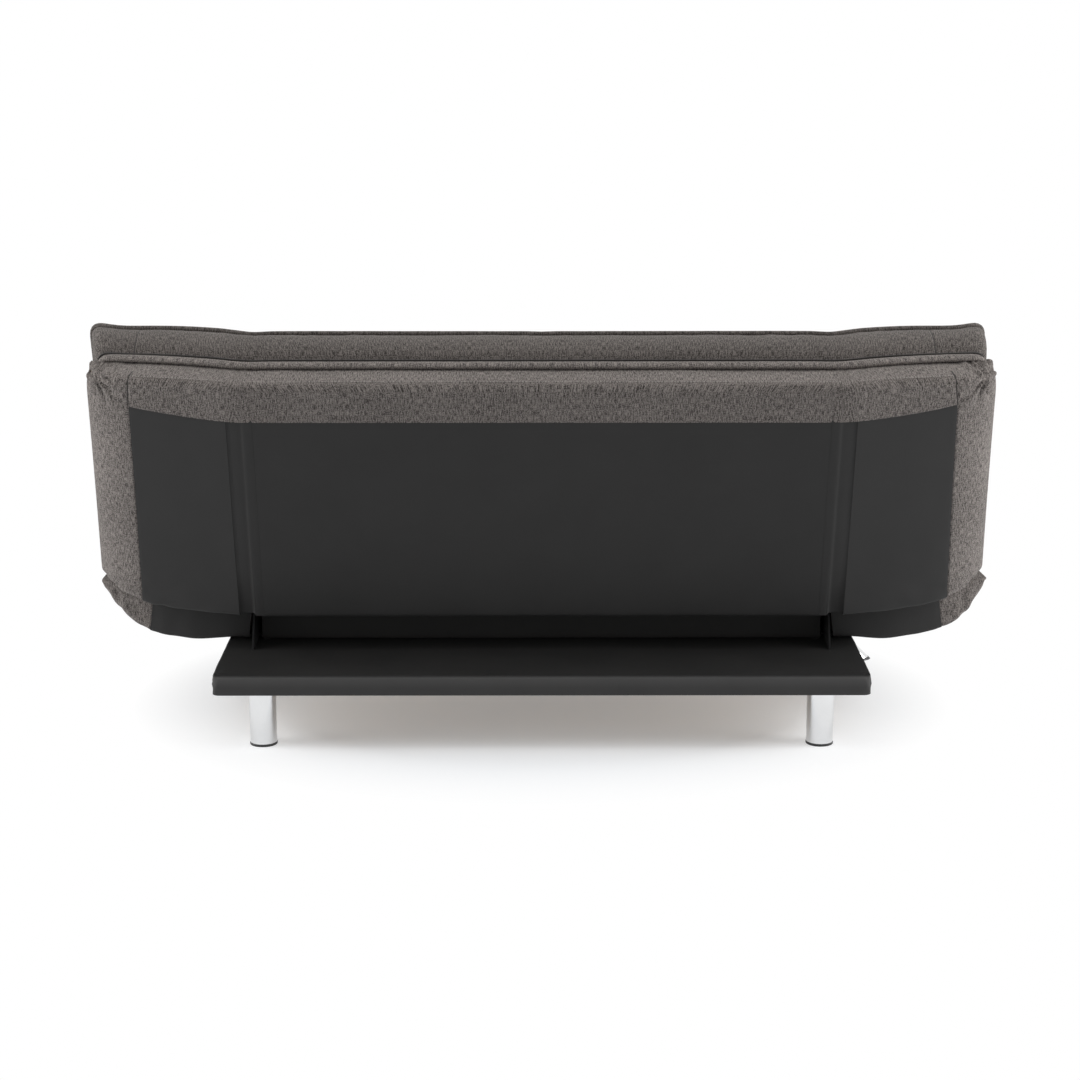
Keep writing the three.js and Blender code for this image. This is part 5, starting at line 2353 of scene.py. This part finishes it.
@dataclass
class Studio:
    """The pale floor, the soft lights and the camera."""

    lens: float = 76.7
    camera_place: Place = (0.0179, 4.9625, 1.525)
    pitch: float = 13.4
    yaw: float = -0.18
    paper: Colour = (0.875, 0.895, 0.92)
    paper_glow: float = 0.22
    glossy_share: float = 0.85
    white_from: float = 0.7
    white_to: float = 1.08
    ambience: float = 0.2

    def build(self) -> None:
        """Builds floor, world, lights and camera."""
        self.floor()
        self.world()
        self.lamp("top_light", (0.0, -0.3, 3.2), (0, 0.1, 0.3), 3.0, 48)
        self.lamp("left_light", (3.4, 0.55, 1.5), (0.3, 0.1, 0.5), 2.2, 72)
        self.lamp("right_light", (-3.4, 0.55, 1.5), (-0.3, 0.1, 0.5), 2.2, 84)
        self.lamp("rear_light", (0.6, 4.4, 2.0), (0, 0.1, 0.4), 2.6, 5.6)
        self.lamp("front_light", (-0.6, -3.6, 2.2), (0, 0, 0.4), 2.6, 34)
        self.camera()
        bpy.context.scene.view_settings.view_transform = "Standard"

    def camera(self) -> None:
        """The camera at the photograph's place."""
        data = bpy.data.cameras.new("photo_camera")
        data.lens = self.lens
        data.sensor_width = 36
        camera = bpy.data.objects.new("photo_camera", data)
        bpy.context.scene.collection.objects.link(camera)
        camera.location = self.camera_place
        pitch, yaw = math.radians(self.pitch), math.radians(self.yaw)
        level = math.cos(pitch)
        look = Vector((math.sin(yaw) * level, -math.cos(yaw) * level, -math.sin(pitch)))
        camera.rotation_euler = look.to_track_quat("-Z", "Y").to_euler()
        bpy.context.scene.camera = camera

    def floor(self) -> None:
        """A wide pale floor that keeps the shadow and reads as white."""
        deselect()
        bpy.ops.mesh.primitive_plane_add(size=40, location=(0, 0, 0))
        floor = bpy.context.object
        floor.name = "studio_floor"
        shader = Shader("floor_paper")
        shader.surface_values(base_color=(*self.paper, 1.0), roughness=0.9)
        place = shader.node("ShaderNodeTexCoord", {}, {}).outputs["Object"]
        squeeze = {0: place, 1: (1.2, 1.5, 0), 2: (0, -0.08, 0)}
        oval = shader.node("ShaderNodeVectorMath", {"operation": "MULTIPLY_ADD"}, squeeze)
        far = shader.node("ShaderNodeVectorMath", {"operation": "LENGTH"}, {0: oval.outputs["Vector"]})
        span = {"Value": far.outputs["Value"], "From Min": self.white_from, "From Max": self.white_to}
        ring = shader.node("ShaderNodeMapRange", {}, span)
        rays = shader.node("ShaderNodeLightPath", {}, {})
        glossy = Value(shader, rays.outputs["Is Glossy Ray"]) * self.glossy_share
        seen = Value(shader, rays.outputs["Is Camera Ray"]) + glossy
        dim = shader.node("ShaderNodeEmission", {}, {"Color": (1, 1, 1, 1)})
        shader.feed(dim.inputs["Strength"], seen * self.paper_glow)
        near = shader.node("ShaderNodeAddShader", {}, {0: shader.surface.outputs[0], 1: dim.outputs[0]})
        white = shader.node("ShaderNodeEmission", {}, {"Color": (1, 1, 1, 1)})
        share = seen * Value(shader, ring.outputs[0])
        blend = {0: share, 1: near.outputs[0], 2: white.outputs[0]}
        both = shader.node("ShaderNodeMixShader", {}, blend)
        shader.feed(shader.output.inputs["Surface"], both.outputs[0])
        floor.data.materials.append(shader.material)

    def world(self) -> None:
        """Even light from all round, white to the camera and to metal."""
        world = bpy.data.worlds.new("studio_world")
        bpy.context.scene.world = world
        world.use_nodes = True
        tree = world.node_tree
        tree.nodes.clear()
        output = tree.nodes.new("ShaderNodeOutputWorld")
        background = tree.nodes.new("ShaderNodeBackground")
        rays = tree.nodes.new("ShaderNodeLightPath")
        seen = tree.nodes.new("ShaderNodeMath")
        seen.operation = "MAXIMUM"
        tree.links.new(rays.outputs["Is Camera Ray"], seen.inputs[0])
        tree.links.new(rays.outputs["Is Glossy Ray"], seen.inputs[1])
        strength = tree.nodes.new("ShaderNodeMapRange")
        strength.inputs["To Min"].default_value = self.ambience
        tree.links.new(seen.outputs[0], strength.inputs["Value"])
        tree.links.new(strength.outputs[0], background.inputs["Strength"])
        background.inputs["Color"].default_value = (1, 1, 1, 1)
        tree.links.new(background.outputs[0], output.inputs["Surface"])

    def lamp(self, name: str, place: tuple, aim: tuple, size: float, power: float) -> None:
        """A square soft light.

        Args:
            name: The light's name.
            place: Where it stands.
            aim: The point that it faces.
            size: The length of its sides.
            power: Its power in watts.
        """
        data = bpy.data.lights.new(name, "AREA")
        data.size = size
        data.energy = power
        light = bpy.data.objects.new(name, data)
        bpy.context.scene.collection.objects.link(light)
        light.location = place
        light.rotation_euler = (Vector(aim) - Vector(place)).to_track_quat("-Z", "Y").to_euler()


# What differs in the back's left pad, which stands out further at its top
WIDE_PAD = {"side_spread": 41 * MM, "side_overhang": -26 * MM}


@dataclass
class SofaBed:
    """The whole sofa bed, piece by piece."""

    frame: dict
    finishes: Finishes
    planing: float = 6.5 * MM
    board_margin: float = 3 * MM
    board_corner: float = 14 * MM

    def sections(self) -> list[Section]:
        """The seat and the back, from the frame's joints and solids."""
        joints = {joint["name"]: joint for joint in self.frame["record"]["behaviour"]["joints"]}
        pivot = Vector(joints["back_fold"]["pos_m"])
        hinge = Vector(joints["seat_left_wing_fold"]["pos_m"])
        rise = pivot.z - hinge.z
        tip = -joints["back_fold"]["range_deg"][0]
        slant = math.radians(tip)
        seat_length = pivot.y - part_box("seat_cover")[0][1]
        back_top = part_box("back_cover")[1][2]
        back_length = (back_top - pivot.z + rise * math.cos(slant)) / math.sin(slant)
        built = []
        halves = (("seat", -1, seat_length, 0.0), ("back", 1, back_length, tip))
        for name, facing, length, lift in halves:
            wing = -joints[f"{name}_left_wing_fold"]["range_deg"][0]
            built.append(Section(name, facing, length, lift, wing, pivot, hinge.x, rise))
            log.info("%s: %.1f mm long, wings at %.1f degrees", name, length * 1000, wing)
        return built

    def build(self) -> None:
        """Builds every piece of the sofa bed."""
        for number, section in enumerate(self.sections()):
            is_back = section.name == "back"
            shape = BoxShape(section, **(BACK_BOX if is_back else {}))
            Box(shape, self.finishes, None, 1.7 + 4 * number).build()
            for side in Side:
                Box(shape, self.finishes, side, 2.9 + 4 * number + side.value).build()
                HingeCloth(shape, side, self.finishes, 5.1).build()
                fit = WIDE_PAD if is_back and side is Side.LEFT else {}
                Pad(PadShape(section, 3.0 + 6 * number, **fit), side, self.finishes).build()
                self.trim_board(section, side)
            self.eased(f"{section.name}_slat_frame", section.name)
            Topstitching(shape, self.finishes).build()
        PlatformCloth(self.finishes).build()
        for side in Side:
            Leg("rear", side, self.finishes).build()
            Leg("front", side, self.finishes, lean=45.0).build()
        self.dress_nodes()

    def eased(self, node_name: str, body: str) -> Piece:
        """Copies a timber piece with its faces planed down, so that it stays under the soft covers.

        Args:
            node_name: The CAD node that is copied and replaced.
            body: What the copy rides on.

        Returns:
            The copy.
        """
        node = self.frame["nodes"][node_name]
        piece = bpy.data.objects.new(f"{node_name}_eased", node.data.copy())
        bpy.context.scene.collection.objects.link(piece)
        piece.matrix_world = node.matrix_world.copy()
        settle(piece)
        with editing(piece):
            bpy.ops.mesh.remove_doubles(threshold=0.05 * MM)
        apply_modifier(piece, "DISPLACE", strength=-self.planing, mid_level=0.0)
        dress(piece, self.finishes.timber)
        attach(piece, body)
        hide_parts(node.name)
        return piece

    def trim_board(self, section: Section, side: Side) -> None:
        """Cuts a wing board's free outer corner back, so that it stays under the softer cover.

        Args:
            section: The seat or the back.
            side: The wing's side.
        """
        body = section.wing(side)
        piece = self.eased(f"{body}_board", body)
        near, out = section.hinge_line + 0.1, section.hinge_line + section.wing_reach
        inner = section.length - section.fall(near) - self.board_margin
        outer = section.length - section.fall(out) - self.board_corner
        marks = np.array([
            (near, inner, -0.05),
            (out, outer, -0.05),
            (near, inner, 0.0),
            (near, section.length + 0.1, -0.05),
        ])
        start, end, above, beyond = (Vector(mark) for mark in section.lay(marks, side, 1.0))
        across = (end - start).cross(above - start).normalized()
        if across.dot(beyond - start) < 0:
            across.negate()
        with editing(piece):
            cut_away(start, across)

    def dress_nodes(self) -> None:
        """Gives the CAD nodes that still show their materials."""
        finishes = self.finishes
        materials = {
            ("left_rail", "right_rail", "middle_rail", "slat"): finishes.cross_timber,
            ("rail", "board"): finishes.timber,
            ("arm", "bracket", "bolt", "leaf"): finishes.steel,
        }
        for name, node in self.frame["nodes"].items():
            for words, material in materials.items():
                if any(word in name for word in words):
                    for slot in node.material_slots:
                        slot.material = material
                    break


def main() -> None:
    """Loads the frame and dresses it."""
    logging.basicConfig(level=logging.INFO, format="%(name)s: %(message)s")
    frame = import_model()
    Studio().build()
    SofaBed(frame, Finishes()).build()
    deselect()


if __name__ == "__main__":
    main()
